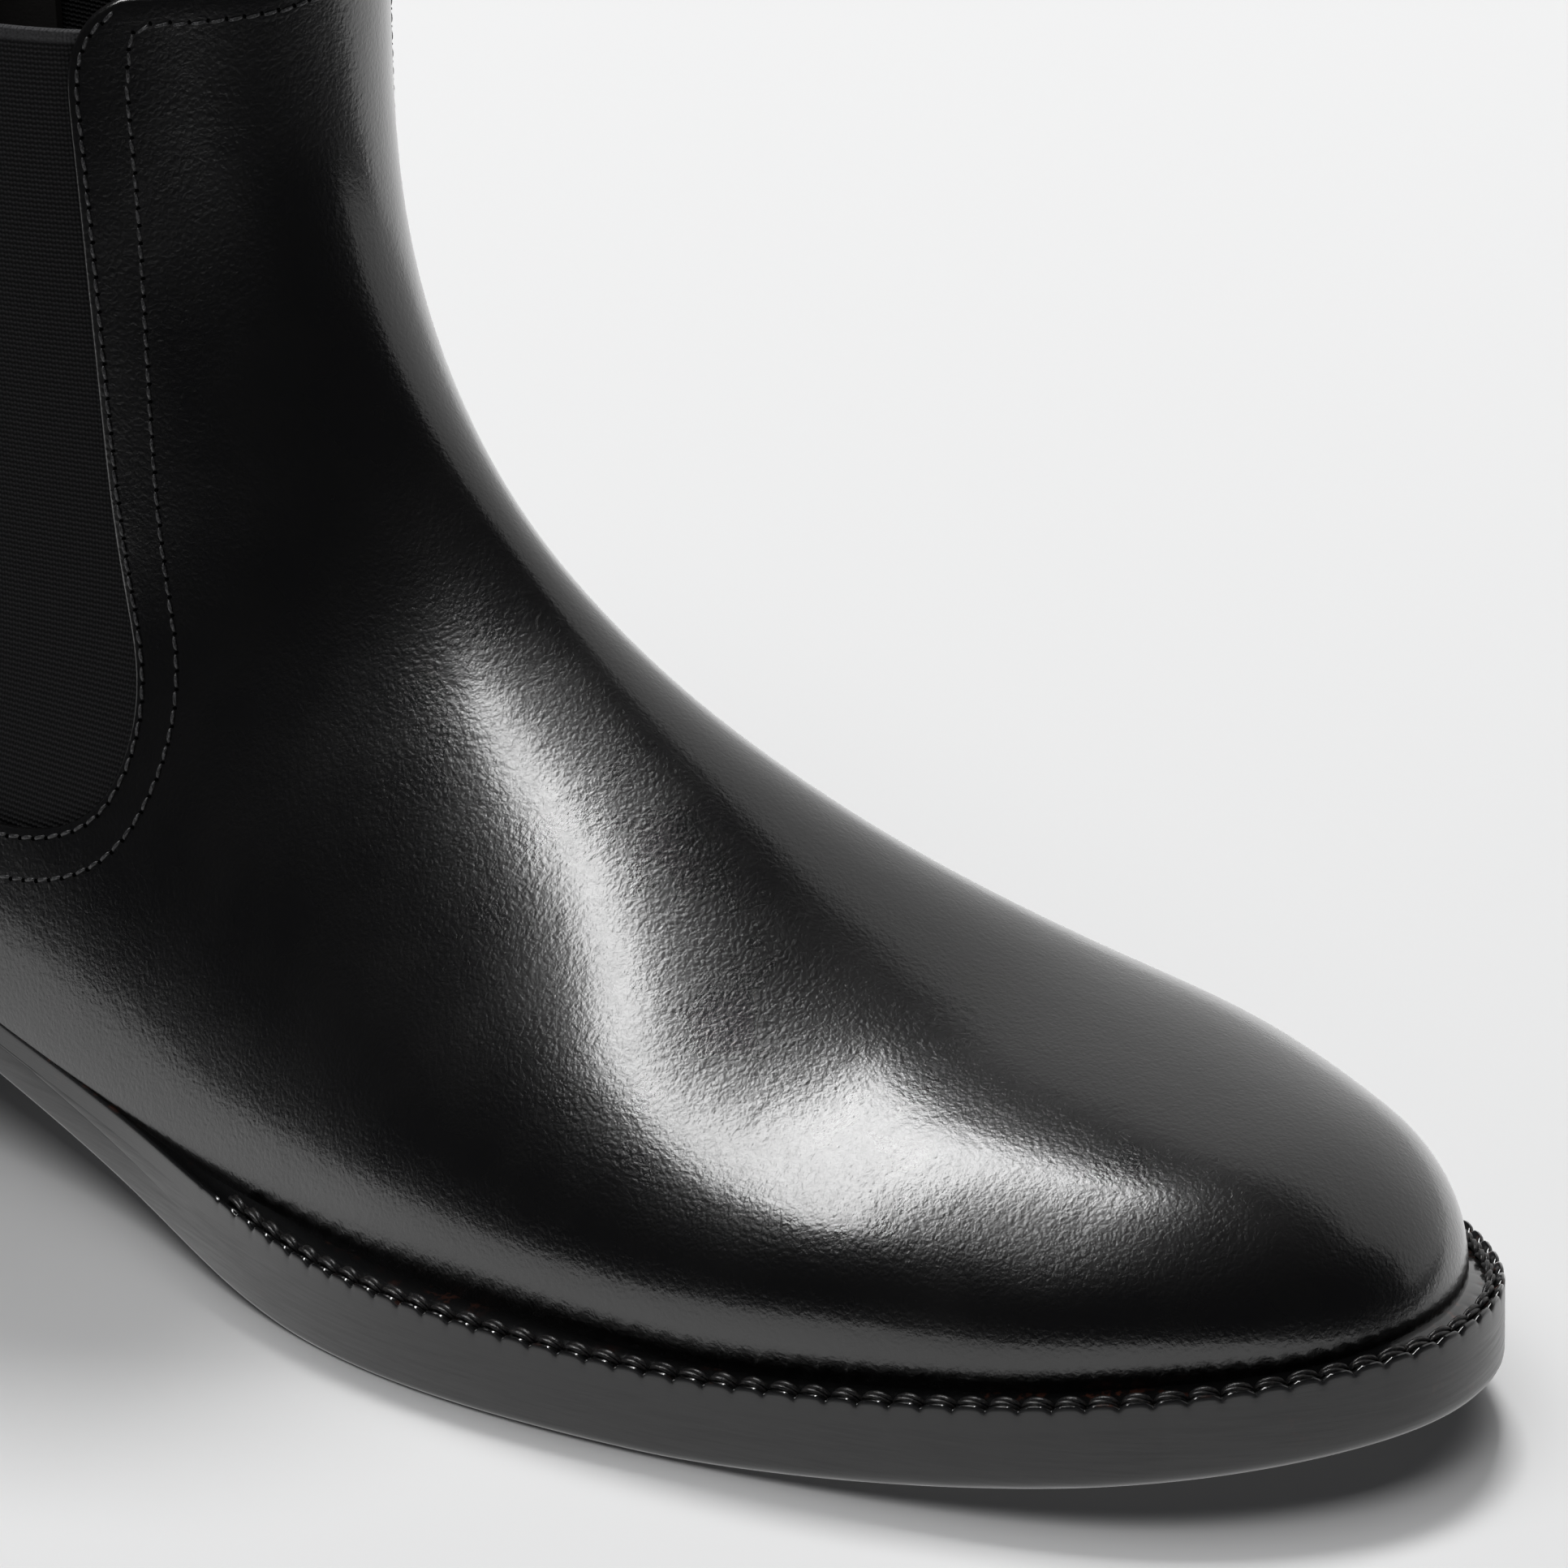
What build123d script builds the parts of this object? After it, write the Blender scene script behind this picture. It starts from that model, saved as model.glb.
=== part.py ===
"""Chelsea boot, right foot, welted: upper, elastic gores, lasting layers, soles, heel and pull loop.

Millimetres.  +X points to the toe, +Y to the inner (medial) side, +Z up.
The origin is the centre of the heel's ground contact.
"""
import os
from math import copysign, cos, hypot, pi, sin

from build123d import *

os.makedirs("parts", exist_ok=True)

# ---------------------------------------------------------------- driving sizes
sole_length = 303.0          # back of the heel to the tip of the sole
ball_width = 102.0           # across the sole at the ball
shaft_height = 154.0         # ground to the topline at the back
throat_level = 95.0          # the shaft is stretched above this height only
heel_height = 19.5           # ground to the sole at the heel breast
toe_spring = 8.6             # how far the sole's tip stands off the ground
waist_edge = 7.5             # thickness of the sole edge at the waist
forepart_edge = 11.0         # thickness of the sole edge at the ball and toe
welt_thickness = 3.0
outsole_thickness = 4.5
leather_thickness = 1.3
midlayer_thickness = 0.8     # interlining, toe puff, heel counter and elastic
lining_thickness = 1.0
layer_gap = 0.05             # between one layer of the upper and the next
lasting_margin = 14.0        # how far the turned-in upper reaches under the foot, from the sole edge
rib_width = 3.0
insole_thickness = 2.5
sock_thickness = 1.0
seam_x = 48.0                # side seam, below the middle of the gore
gore_width = 64.0
gore_floor = 42.5            # lowest point of the gore opening
gore_drop = 5.0              # the elastic ends this far below the topline
gore_flare = 6.0             # the opening widens towards its floor
corner_reach = 9.0           # rounded leather corners beside the gore's top
counter_height = 62.0
puff_start = 212.0
midsole_start = 78.0
gore_hem = 7.0               # elastic hidden behind the leather
top_piece_thickness = 6.0
lift_thickness = 5.0
heel_taper = 0.5             # each lift is this much smaller than the one above
heel_breast = 36.0           # front face of the heel
breast_hollow = 4.0          # depth of the curved breast
nail_radius = 0.8
nail_length = 13.0
nail_inset = 8.0
nail_clearance = 0.05
shank_length = 105.0
shank_width = 12.0
shank_thickness = 1.2
shank_clearance = 0.1
loop_width = 20.0            # pull loop webbing
webbing_thickness = 1.3
loop_height = 30.0
loop_gap = 9.0               # room for a finger
knuckle_radius = 2.0         # foot of the loop, which turns on the saddle
tab_sewn_height = 22.0
hinge_gap = 0.3
stitch_pitch = 3.9
stitch_inset = 2.1
outer_stitch_start = 120.0   # the welt stitches begin here on the outer side, ahead of the waist
inner_stitch_start = 140.0   # and here on the inner side, where the upper overhangs the waist
thread_radius = 0.45
fit_gap = 0.1                # between loose-fitting layers under the foot

length_k = sole_length / 303.0
width_k = ball_width / 102.0
shaft_k = (shaft_height - throat_level) / (154.0 - throat_level)

flat_start = 140.0 * length_k     # the tread rests flat between these two
flat_end = 188.0 * length_k
side_reach = 400.0                # longer than the boot: for cuts right across it


# ---------------------------------------------------------------- profile curves
def raised(z):
    """Stretch a height with the shaft, above the throat only."""
    return z if z < throat_level else throat_level + (z - throat_level) * shaft_k


def ground_gap(x):
    """Underside of the outsole above the ground: arched waist, flat tread, toe spring."""
    if x < heel_breast:
        back = min(heel_breast - x, 45.0)
        slope = heel_height * 1.25 / (flat_start - heel_breast)
        return heel_height + slope * (back - back * back / 90.0)
    if x < flat_start:
        t = (x - heel_breast) / (flat_start - heel_breast)
        return heel_height * (1 - t) ** 2 * (1 + 0.75 * t)
    if x > flat_end:
        return toe_spring * ((x - flat_end) / (80.0 * length_k)) ** 1.55
    return 0.0


def edge_thickness(x):
    """Total sole edge, thin at the waist and full from the ball on."""
    t = min(max((x / length_k - 62.0) / 68.0, 0.0), 1.0)
    return waist_edge + (forepart_edge - waist_edge) * (3 * t * t - 2 * t ** 3)


def feather(x):
    """Top of the welt, where the upper meets the sole."""
    return ground_gap(x) + edge_thickness(x)


def topline(x):
    """Upper edge of the shaft: highest at the back, dipping over the gores."""
    along = min(max((x + 20.0) / 140.0, 0.0), 1.0)
    return shaft_height - 2.0 * sin(pi * along) - 3.0 * along


def run(curve, shift, start, end, count):
    """Points along a height curve, shifted up by a thickness."""
    step = (end - start) / (count - 1)
    return [(start + step * i, curve(start + step * i) + shift) for i in range(count)]


def height_line(curve, shift):
    """The curve as three edges: heel and waist, flat tread, toe."""
    waist = Spline(*run(curve, shift, -60.0, flat_start, 12), tangents=[(1, 0), (1, 0)])
    tread = Line(waist @ 1, (flat_end, curve(flat_end) + shift))
    toe = Spline(*run(curve, shift, flat_end, 290.0 * length_k, 6), tangents=[(1, 0), (1, 0.2)])
    return waist, tread, toe


def layer(low, low_shift, high, high_shift):
    """A slab right across the boot between two height curves."""
    with BuildPart() as slab:
        with BuildSketch(Plane.XZ):
            with BuildLine():
                bottom = height_line(low, low_shift)
                top = height_line(high, high_shift)
                Line(bottom[0] @ 0, top[0] @ 0)
                Line(bottom[2] @ 1, top[2] @ 1)
            make_face()
        extrude(amount=side_reach / 2, both=True)
    return slab.part


def shaft_space(floor_shift, top_shift=0.0):
    """Everything between the feather line and the topline."""
    with BuildPart() as space:
        with BuildSketch(Plane.XZ):
            with BuildLine():
                bottom = height_line(feather, floor_shift)
                top = Spline(*run(topline, top_shift, -60.0, 130.0, 9))
                Line(bottom[0] @ 0, top @ 0)
                Polyline(top @ 1, (290.0 * length_k, (top @ 1).Y), bottom[2] @ 1)
            make_face()
        extrude(amount=side_reach / 2, both=True)
    return space.part


# ---------------------------------------------------------------- sole outline
sole_points = [
    (-38, 0), (-32, -20), (-15, -31.5), (12, -35.5), (42, -36), (72, -38), (98, -42), (122, -48.5),
    (146, -52.5), (172, -51), (199, -45), (223, -37), (243.5, -26.5), (258.5, -11.5), (265, 5.5),
    (261, 21.5), (247, 35), (227.5, 45), (203, 50), (180, 50.5), (157, 46), (130, 37.5), (100, 29.5),
    (70, 27), (40, 30), (12, 33), (-15, 31), (-32, 20),
]


def moved_in(points, inset):
    """A closed run of points, each moved inwards along its own normal."""
    moved = []
    for i, (x, y) in enumerate(points):
        before = points[i - 1]
        after = points[(i + 1) % len(points)]
        run_x, run_y = after[0] - before[0], after[1] - before[1]
        size = hypot(run_x, run_y)
        moved.append((x - inset * run_y / size, y + inset * run_x / size))
    return moved


def outline(inset):
    """The sole's plan outline, smaller by an inset all round."""
    return moved_in([(x * length_k, y * width_k) for x, y in sole_points], inset)


def footprint(inset):
    """Upright column with the sole's outline."""
    with BuildPart() as column:
        with BuildSketch(Plane.XY.offset(-20)):
            with BuildLine():
                Spline(*outline(inset), periodic=True)
            make_face()
        extrude(amount=90)
    return column.part


# ---------------------------------------------------------------- upper sections
# Each section lies in a plane across the foot, from the ridge (front line) to the base (back line).
# ridge x, z; base x, z; centre offset; half width; level of the full width; roundness up and down; ridge lean
upper_sections = [
    (100.0, 176.0, -19.5, 177.0, -1.0, 37.3, 0.50, 2.10, 2.20, 0.0),
    (98.0, 158.0, -20.5, 159.0, -1.0, 36.9, 0.50, 2.10, 2.20, 0.0),
    (97.5, 139.0, -22.5, 139.0, -1.0, 36.6, 0.49, 2.10, 2.20, 0.0),
    (99.5, 121.0, -27.0, 114.0, -0.7, 36.4, 0.47, 2.00, 2.20, 0.0),
    (105.0, 106.5, -33.0, 86.0, -0.2, 35.6, 0.43, 1.90, 2.15, 0.0),
    (113.5, 94.5, -36.5, 56.0, -0.2, 34.5, 0.36, 1.85, 2.15, 0.5),
    (125.5, 83.0, -32.0, 20.0, -0.9, 33.2, 0.31, 1.85, 2.30, 1.5),
    (142.0, 72.0, 8.0, 4.0, -3.2, 32.8, 0.34, 1.95, 2.45, 3.0),
    (161.5, 62.0, 66.0, -6.0, -5.2, 35.5, 0.38, 2.05, 2.60, 5.0),
    (180.0, 52.5, 118.0, -10.0, -5.0, 41.5, 0.42, 2.10, 2.75, 7.0),
    (199.5, 44.8, 160.0, -10.0, -0.5, 45.0, 0.45, 2.10, 2.75, 6.0),
    (218.5, 41.0, 190.0, -8.0, 3.0, 43.0, 0.47, 2.10, 2.70, 3.5),
    (235.5, 38.0, 207.0, -5.0, 4.5, 38.2, 0.44, 2.10, 2.50, 2.0),
    (249.5, 34.0, 217.0, -2.0, 5.2, 33.5, 0.40, 2.05, 2.40, 1.0),
    (258.5, 27.2, 220.0, 0.0, 5.8, 29.3, 0.35, 2.00, 2.30, 0.0),
    (260.8, 17.6, 221.0, 1.0, 6.6, 25.0, 0.35, 2.00, 2.20, 0.0),
    (259.0, 8.0, 221.0, 0.0, 7.0, 21.5, 0.40, 2.00, 2.20, 0.0),
]
section_points = 28


def section_plane(row):
    """Plane through the base point, with local X across the foot and local Y up to the ridge."""
    ridge_x, ridge_z, base_x, base_z = row[0] * length_k, raised(row[1]), row[2] * length_k, raised(row[3])
    reach = hypot(ridge_x - base_x, ridge_z - base_z)
    normal = ((ridge_z - base_z) / reach, 0, -(ridge_x - base_x) / reach)
    return Plane(origin=(base_x, 0, base_z), x_dir=(0, 1, 0), z_dir=normal), reach


def section_outline(row, reach, depth):
    """Two half superellipses, pressed in by a depth all round."""
    centre, half_width, full_level = row[4] * width_k, row[5] * width_k - depth, row[6]
    low, high = depth, reach - depth
    middle = low + full_level * (high - low)
    points = []
    for i in range(section_points):
        angle = 2 * pi * i / section_points
        up, out = cos(angle), sin(angle)
        power = 2 / (row[7] if up > 0 else row[8])
        rise = abs(up) ** power * (high - middle if up > 0 else low - middle)
        lean = row[9] * (abs(up) ** power) ** 2 if up > 0 else 0.0
        points.append((centre + lean + copysign(abs(out) ** power, -out) * half_width, middle + rise))
    return points


def last_shape(depth):
    """The whole upper's solid shape, its surface pressed in by a depth."""
    with BuildPart() as body:
        for row in upper_sections:
            plane, reach = section_plane(row)
            with BuildSketch(plane):
                with BuildLine():
                    Spline(*section_outline(row, reach, depth), periodic=True)
                make_face()
        loft()
    return body.part


def hollow(depth):
    """The room inside a layer of the upper."""
    with BuildPart() as room:
        add(last_shape(depth))
        add(shaft_space(depth, 5.0), mode=Mode.INTERSECT)
    return room.part


def floor_opening(depth):
    """The opening that the turned-in edges leave under the foot."""
    with BuildPart() as opening:
        add(footprint(lasting_margin))
        add(layer(feather, -5.0, feather, depth + 0.5), mode=Mode.INTERSECT)
    return opening.part


def upper_shell(outer_depth, thickness):
    """One layer of the upper, turned in under the foot by the lasting margin."""
    inner_depth = outer_depth + thickness
    with BuildPart() as shell:
        add(last_shape(outer_depth))
        add(shaft_space(outer_depth), mode=Mode.INTERSECT)
        add([hollow(inner_depth), floor_opening(inner_depth)], mode=Mode.SUBTRACT)
    return shell.part


# ---------------------------------------------------------------- gore outline
def gore_side(direction, flare):
    """One edge of the opening, from the topline down to the floor."""
    half = gore_width / 2
    top = topline(seam_x)
    edge = [
        (half + corner_reach, top + 1.0),
        (half + 0.45 * corner_reach, top - 1.6),
        (half + 0.1 * corner_reach, top - 6.5),
        (half, top - 16.0),
        (half + 0.1 * flare, gore_floor + 50.0),
        (half + 0.5 * flare, gore_floor + 30.0),
        (half + flare, gore_floor + 14.5),
        (half + 0.55 * flare, gore_floor + 6.0),
        (half - 4.5, gore_floor + 1.4),
    ]
    return [(seam_x * length_k + direction * x, z) for x, z in edge]


def gore_cut(margin, top):
    """Prism through both sides of the shaft: the gore opening, grown by a margin, up to a level."""
    front = gore_side(1, gore_flare)
    back = gore_side(-1, 0.35 * gore_flare)
    loop = front + [(seam_x * length_k, gore_floor)] + back[::-1]
    grown = moved_in(loop, margin)
    with BuildPart() as prism:
        with BuildSketch(Plane.XZ):
            with BuildLine():
                edge = Spline(*grown)
                Polyline(edge @ 1, ((edge @ 1).X, 300.0), ((edge @ 0).X, 300.0), edge @ 0)
            make_face()
        extrude(amount=side_reach / 2, both=True)
        if top:
            split(bisect_by=Plane.XY.offset(top), keep=Keep.BOTTOM)
    return prism.part


# ---------------------------------------------------------------- layers of the upper
side_seam = Plane.YZ.offset(seam_x * length_k)
middle_depth = leather_thickness + layer_gap
lining_depth = middle_depth + midlayer_thickness + layer_gap
upper_thickness = lining_depth + lining_thickness
elastic_top = topline(seam_x) - gore_drop
gore_opening = gore_cut(0.0, None)
gore_clearing = gore_cut(gore_hem + 0.2, None)

leather = upper_shell(0.0, leather_thickness)
middle = upper_shell(middle_depth, midlayer_thickness)
lining = upper_shell(lining_depth, lining_thickness)

with BuildPart() as vamp:
    add(leather)
    split(bisect_by=side_seam, keep=Keep.TOP)
    add(gore_opening, mode=Mode.SUBTRACT)

with BuildPart() as quarter:
    add(leather)
    split(bisect_by=side_seam, keep=Keep.BOTTOM)
    add(gore_opening, mode=Mode.SUBTRACT)

with BuildPart() as vamp_lining:
    add(lining)
    split(bisect_by=side_seam, keep=Keep.TOP)
    add(gore_opening, mode=Mode.SUBTRACT)

with BuildPart() as quarter_lining:
    add(lining)
    split(bisect_by=side_seam, keep=Keep.BOTTOM)
    add(gore_opening, mode=Mode.SUBTRACT)

with BuildPart() as gores:
    add(middle)
    add(gore_cut(gore_hem, elastic_top), mode=Mode.INTERSECT)

with BuildPart() as gore_lateral:
    add(gores.part)
    split(bisect_by=Plane.XZ, keep=Keep.TOP)

with BuildPart() as gore_medial:
    add(gores.part)
    split(bisect_by=Plane.XZ, keep=Keep.BOTTOM)

with BuildPart() as stiffeners:
    add(middle)
    add(gore_clearing, mode=Mode.SUBTRACT)

with BuildPart() as toe_puff:
    add(stiffeners.part)
    split(bisect_by=Plane.YZ.offset(puff_start * length_k), keep=Keep.TOP)

with BuildPart() as vamp_interlining:
    add(stiffeners.part)
    split(bisect_by=Plane.YZ.offset(puff_start * length_k - layer_gap), keep=Keep.BOTTOM)
    split(bisect_by=side_seam, keep=Keep.TOP)

with BuildPart() as heel_counter:
    add(stiffeners.part)
    split(bisect_by=side_seam.offset(-layer_gap), keep=Keep.BOTTOM)
    split(bisect_by=Plane.XY.offset(counter_height), keep=Keep.BOTTOM)

with BuildPart() as quarter_interlining:
    add(stiffeners.part)
    split(bisect_by=side_seam.offset(-layer_gap), keep=Keep.BOTTOM)
    split(bisect_by=Plane.XY.offset(counter_height + layer_gap), keep=Keep.TOP)

# ---------------------------------------------------------------- under the foot
insole_floor = upper_thickness + fit_gap
sock_floor = insole_floor + insole_thickness + layer_gap
rib_outer = lasting_margin + fit_gap
cork_edge = rib_outer + rib_width + fit_gap
foot_space = last_shape(upper_thickness + fit_gap)

with BuildPart() as insole:
    add(foot_space)
    add(layer(feather, insole_floor, feather, insole_floor + insole_thickness), mode=Mode.INTERSECT)

with BuildPart() as sock_liner:
    add(foot_space)
    add(layer(feather, sock_floor, feather, sock_floor + sock_thickness), mode=Mode.INTERSECT)

with BuildPart() as insole_rib:
    add(footprint(rib_outer))
    add(footprint(rib_outer + rib_width), mode=Mode.SUBTRACT)
    add(layer(feather, 0.0, feather, insole_floor), mode=Mode.INTERSECT)

with BuildPart() as shank:
    with BuildSketch(Plane.XY):
        with Locations((heel_breast + 0.2 * shank_length, -2.5)):
            SlotOverall(shank_length, shank_width)
    extrude(amount=80)
    add(layer(feather, 0.0, feather, shank_thickness), mode=Mode.INTERSECT)

with BuildPart() as shank_pocket:
    with BuildSketch(Plane.XY):
        with Locations((heel_breast + 0.2 * shank_length, -2.5)):
            SlotOverall(shank_length + 2 * shank_clearance, shank_width + 2 * shank_clearance)
    extrude(amount=80)
    add(layer(feather, -shank_clearance, feather, shank_thickness + shank_clearance), mode=Mode.INTERSECT)

with BuildPart() as cork_filler:
    add(footprint(cork_edge))
    add(layer(feather, -welt_thickness, feather, insole_floor), mode=Mode.INTERSECT)
    add(shank_pocket.part, mode=Mode.SUBTRACT)

with BuildPart() as welt_ring:
    add(footprint(0.0))
    add(footprint(cork_edge - fit_gap), mode=Mode.SUBTRACT)
    add(layer(feather, -welt_thickness, feather, 0.0), mode=Mode.INTERSECT)

with BuildPart() as welt:
    add(welt_ring.part)
    split(bisect_by=Plane.YZ.offset(heel_breast), keep=Keep.TOP)

with BuildPart() as heel_rand:
    add(welt_ring.part)
    split(bisect_by=Plane.YZ.offset(heel_breast), keep=Keep.BOTTOM)

with BuildPart() as sole_blank:
    add(footprint(0.0))
    add(layer(ground_gap, 0.0, feather, -welt_thickness), mode=Mode.INTERSECT)

with BuildPart() as midsole:
    add(sole_blank.part)
    split(bisect_by=Plane.YZ.offset(midsole_start * length_k), keep=Keep.TOP)
    add(layer(ground_gap, -5.0, ground_gap, outsole_thickness), mode=Mode.SUBTRACT)

with BuildPart() as outsole:
    add(sole_blank.part)
    add(midsole.part, mode=Mode.SUBTRACT)


# ---------------------------------------------------------------- heel
def heel_block(inset, floor, roof):
    """One lift: the sole's outline cut off at the hollow heel breast, between two levels."""
    reach = 80.0
    with BuildPart() as block:
        add(footprint(inset))
        split(bisect_by=Plane.YZ.offset(heel_breast), keep=Keep.BOTTOM)
        with BuildSketch(Plane.XY.offset(-20)):
            with Locations((heel_breast + reach - breast_hollow, 0)):
                Circle(reach)
        extrude(amount=90, mode=Mode.SUBTRACT)
        split(bisect_by=Plane.XY.offset(floor), keep=Keep.TOP)
        split(bisect_by=Plane.XY.offset(roof), keep=Keep.BOTTOM)
    return block.part


lower_seat = top_piece_thickness + lift_thickness
middle_seat = lower_seat + lift_thickness
nail_spots = [spot for spot in outline(nail_inset) if spot[0] < heel_breast - 10.0]

with BuildPart() as heel_nails:
    with BuildSketch(Plane.XY.offset(0.2)):
        with Locations(*nail_spots):
            Circle(2 * nail_radius)
    extrude(amount=0.8)
    with BuildSketch(Plane.XY.offset(0.2)):
        with Locations(*nail_spots):
            Circle(nail_radius)
    extrude(amount=nail_length)

with BuildPart() as nail_holes:
    with BuildSketch(Plane.XY.offset(-1)):
        with Locations(*nail_spots):
            Circle(2 * nail_radius + nail_clearance)
    extrude(amount=2.0 + nail_clearance)
    with BuildSketch(Plane.XY.offset(-1)):
        with Locations(*nail_spots):
            Circle(nail_radius + nail_clearance)
    extrude(amount=nail_length + 1.2 + nail_clearance)

with BuildPart() as heel_top_piece:
    add(heel_block(3 * heel_taper, 0.0, top_piece_thickness))
    add(nail_holes.part, mode=Mode.SUBTRACT)

with BuildPart() as heel_lift_lower:
    add(heel_block(2 * heel_taper, top_piece_thickness, lower_seat))
    add(nail_holes.part, mode=Mode.SUBTRACT)

with BuildPart() as heel_lift_middle:
    add(heel_block(heel_taper, lower_seat, middle_seat))
    add(nail_holes.part, mode=Mode.SUBTRACT)

with BuildPart() as heel_lift_upper:
    add(heel_block(0.0, middle_seat, 60.0))
    add(layer(ground_gap, -30.0, ground_gap, 0.0), mode=Mode.INTERSECT)

# ---------------------------------------------------------------- welt stitches
seam_line = Spline(*outline(stitch_inset), periodic=True)
stitch_count = int(seam_line.length / stitch_pitch)


def stitch_plane(share):
    """Where one stitch lies on the welt, its length along the seam and following the slope."""
    spot = seam_line @ share
    along = seam_line % share
    slope = feather(spot.X + along.X) - feather(spot.X)
    height = feather(spot.X) + thread_radius + layer_gap
    return Plane(origin=(spot.X, spot.Y, height), x_dir=(-along.Y, along.X, 0), z_dir=(along.X, along.Y, slope))


def is_sewn(share):
    """The seam runs round the forepart, from one side of the waist to the other."""
    spot = seam_line @ share
    return spot.X > (inner_stitch_start if spot.Y > 0 else outer_stitch_start) * length_k


stitch_planes = [stitch_plane(i / stitch_count) for i in range(stitch_count) if is_sewn(i / stitch_count)]

with BuildPart() as welt_stitches:
    with Locations(*[plane.location for plane in stitch_planes]):
        Cylinder(thread_radius, 0.75 * stitch_pitch)

# ---------------------------------------------------------------- pull loop at the back of the topline
tab_x = -20.5 * length_k + 0.5 * upper_thickness
tab_top = topline(-20.0)
saddle_top = tab_top + layer_gap + webbing_thickness
hinge_z = saddle_top + hinge_gap + knuckle_radius
outer_face = last_shape(-layer_gap - webbing_thickness)
inner_face = last_shape(upper_thickness + layer_gap + webbing_thickness)

with BuildPart() as upper_edge:
    add(last_shape(-layer_gap))
    add(last_shape(upper_thickness + layer_gap), mode=Mode.SUBTRACT)
    add(shaft_space(0.0, layer_gap), mode=Mode.INTERSECT)

with BuildPart() as pull_tab_anchor:
    with BuildSketch(Plane.XY.offset(tab_top - tab_sewn_height)):
        with Locations((tab_x, 0)):
            Rectangle(20.0, loop_width)
    extrude(amount=tab_sewn_height + layer_gap + webbing_thickness)
    add(outer_face, mode=Mode.INTERSECT)
    add([inner_face, upper_edge.part], mode=Mode.SUBTRACT)

with BuildPart() as pull_tab_loop:
    with BuildSketch(Plane.XZ):
        with Locations((tab_x, hinge_z)):
            Circle(knuckle_radius)
        with Locations((tab_x, hinge_z + loop_height - webbing_thickness - 0.5 * loop_gap)):
            Circle(0.5 * loop_gap + webbing_thickness)
        make_hull()
        with BuildSketch(Plane.XZ, mode=Mode.PRIVATE) as finger_room:
            with Locations((tab_x, hinge_z + 2 * knuckle_radius)):
                Circle(knuckle_radius - webbing_thickness)
            with Locations((tab_x, hinge_z + loop_height - webbing_thickness - 0.5 * loop_gap)):
                Circle(0.5 * loop_gap)
            make_hull()
        add(finger_room.sketch, mode=Mode.SUBTRACT)
    extrude(amount=loop_width / 2, both=True)

# ---------------------------------------------------------------- labels and files
vamp.part.label = "vamp"
quarter.part.label = "quarter"
gore_lateral.part.label = "gore_lateral"
gore_medial.part.label = "gore_medial"
vamp_lining.part.label = "vamp_lining"
quarter_lining.part.label = "quarter_lining"
toe_puff.part.label = "toe_puff"
vamp_interlining.part.label = "vamp_interlining"
heel_counter.part.label = "heel_counter"
quarter_interlining.part.label = "quarter_interlining"
insole.part.label = "insole"
sock_liner.part.label = "sock_liner"
insole_rib.part.label = "insole_rib"
shank.part.label = "shank"
cork_filler.part.label = "cork_filler"
welt.part.label = "welt"
heel_rand.part.label = "heel_rand"
midsole.part.label = "midsole"
outsole.part.label = "outsole"
heel_lift_upper.part.label = "heel_lift_upper"
heel_lift_middle.part.label = "heel_lift_middle"
heel_lift_lower.part.label = "heel_lift_lower"
heel_top_piece.part.label = "heel_top_piece"
heel_nails.part.label = "heel_nails"
welt_stitches.part.label = "welt_stitches"
pull_tab_anchor.part.label = "pull_tab_anchor"
pull_tab_loop.part.label = "pull_tab_loop"

export_step(vamp.part, "parts/vamp.step")
export_step(quarter.part, "parts/quarter.step")
export_step(gore_lateral.part, "parts/gore_lateral.step")
export_step(gore_medial.part, "parts/gore_medial.step")
export_step(vamp_lining.part, "parts/vamp_lining.step")
export_step(quarter_lining.part, "parts/quarter_lining.step")
export_step(toe_puff.part, "parts/toe_puff.step")
export_step(vamp_interlining.part, "parts/vamp_interlining.step")
export_step(heel_counter.part, "parts/heel_counter.step")
export_step(quarter_interlining.part, "parts/quarter_interlining.step")
export_step(insole.part, "parts/insole.step")
export_step(sock_liner.part, "parts/sock_liner.step")
export_step(insole_rib.part, "parts/insole_rib.step")
export_step(shank.part, "parts/shank.step")
export_step(cork_filler.part, "parts/cork_filler.step")
export_step(welt.part, "parts/welt.step")
export_step(heel_rand.part, "parts/heel_rand.step")
export_step(midsole.part, "parts/midsole.step")
export_step(outsole.part, "parts/outsole.step")
export_step(heel_lift_upper.part, "parts/heel_lift_upper.step")
export_step(heel_lift_middle.part, "parts/heel_lift_middle.step")
export_step(heel_lift_lower.part, "parts/heel_lift_lower.step")
export_step(heel_top_piece.part, "parts/heel_top_piece.step")
export_step(heel_nails.part, "parts/heel_nails.step")
export_step(welt_stitches.part, "parts/welt_stitches.step")
export_step(pull_tab_anchor.part, "parts/pull_tab_anchor.step")
export_step(pull_tab_loop.part, "parts/pull_tab_loop.step")
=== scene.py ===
# %% [markdown]
# # A black chelsea boot, dressed on its CAD frame
#
# The CAD frame holds every real part of the boot: the leather upper and its layers, the elastic
# gores, the welted sole, the stacked heel and the pull loop.  This lesson dresses that frame.
# Each visible skin gets its own smooth mesh, its stitches and a finish made from shader nodes.
# Work goes from the outside in: camera, upper, gores, welt, sole, heel, loop, then light.

# %% load the frame
import math
import bmesh
import bpy
import numpy as np
from mathutils import Matrix, Vector
from mathutils.bvhtree import BVHTree


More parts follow.
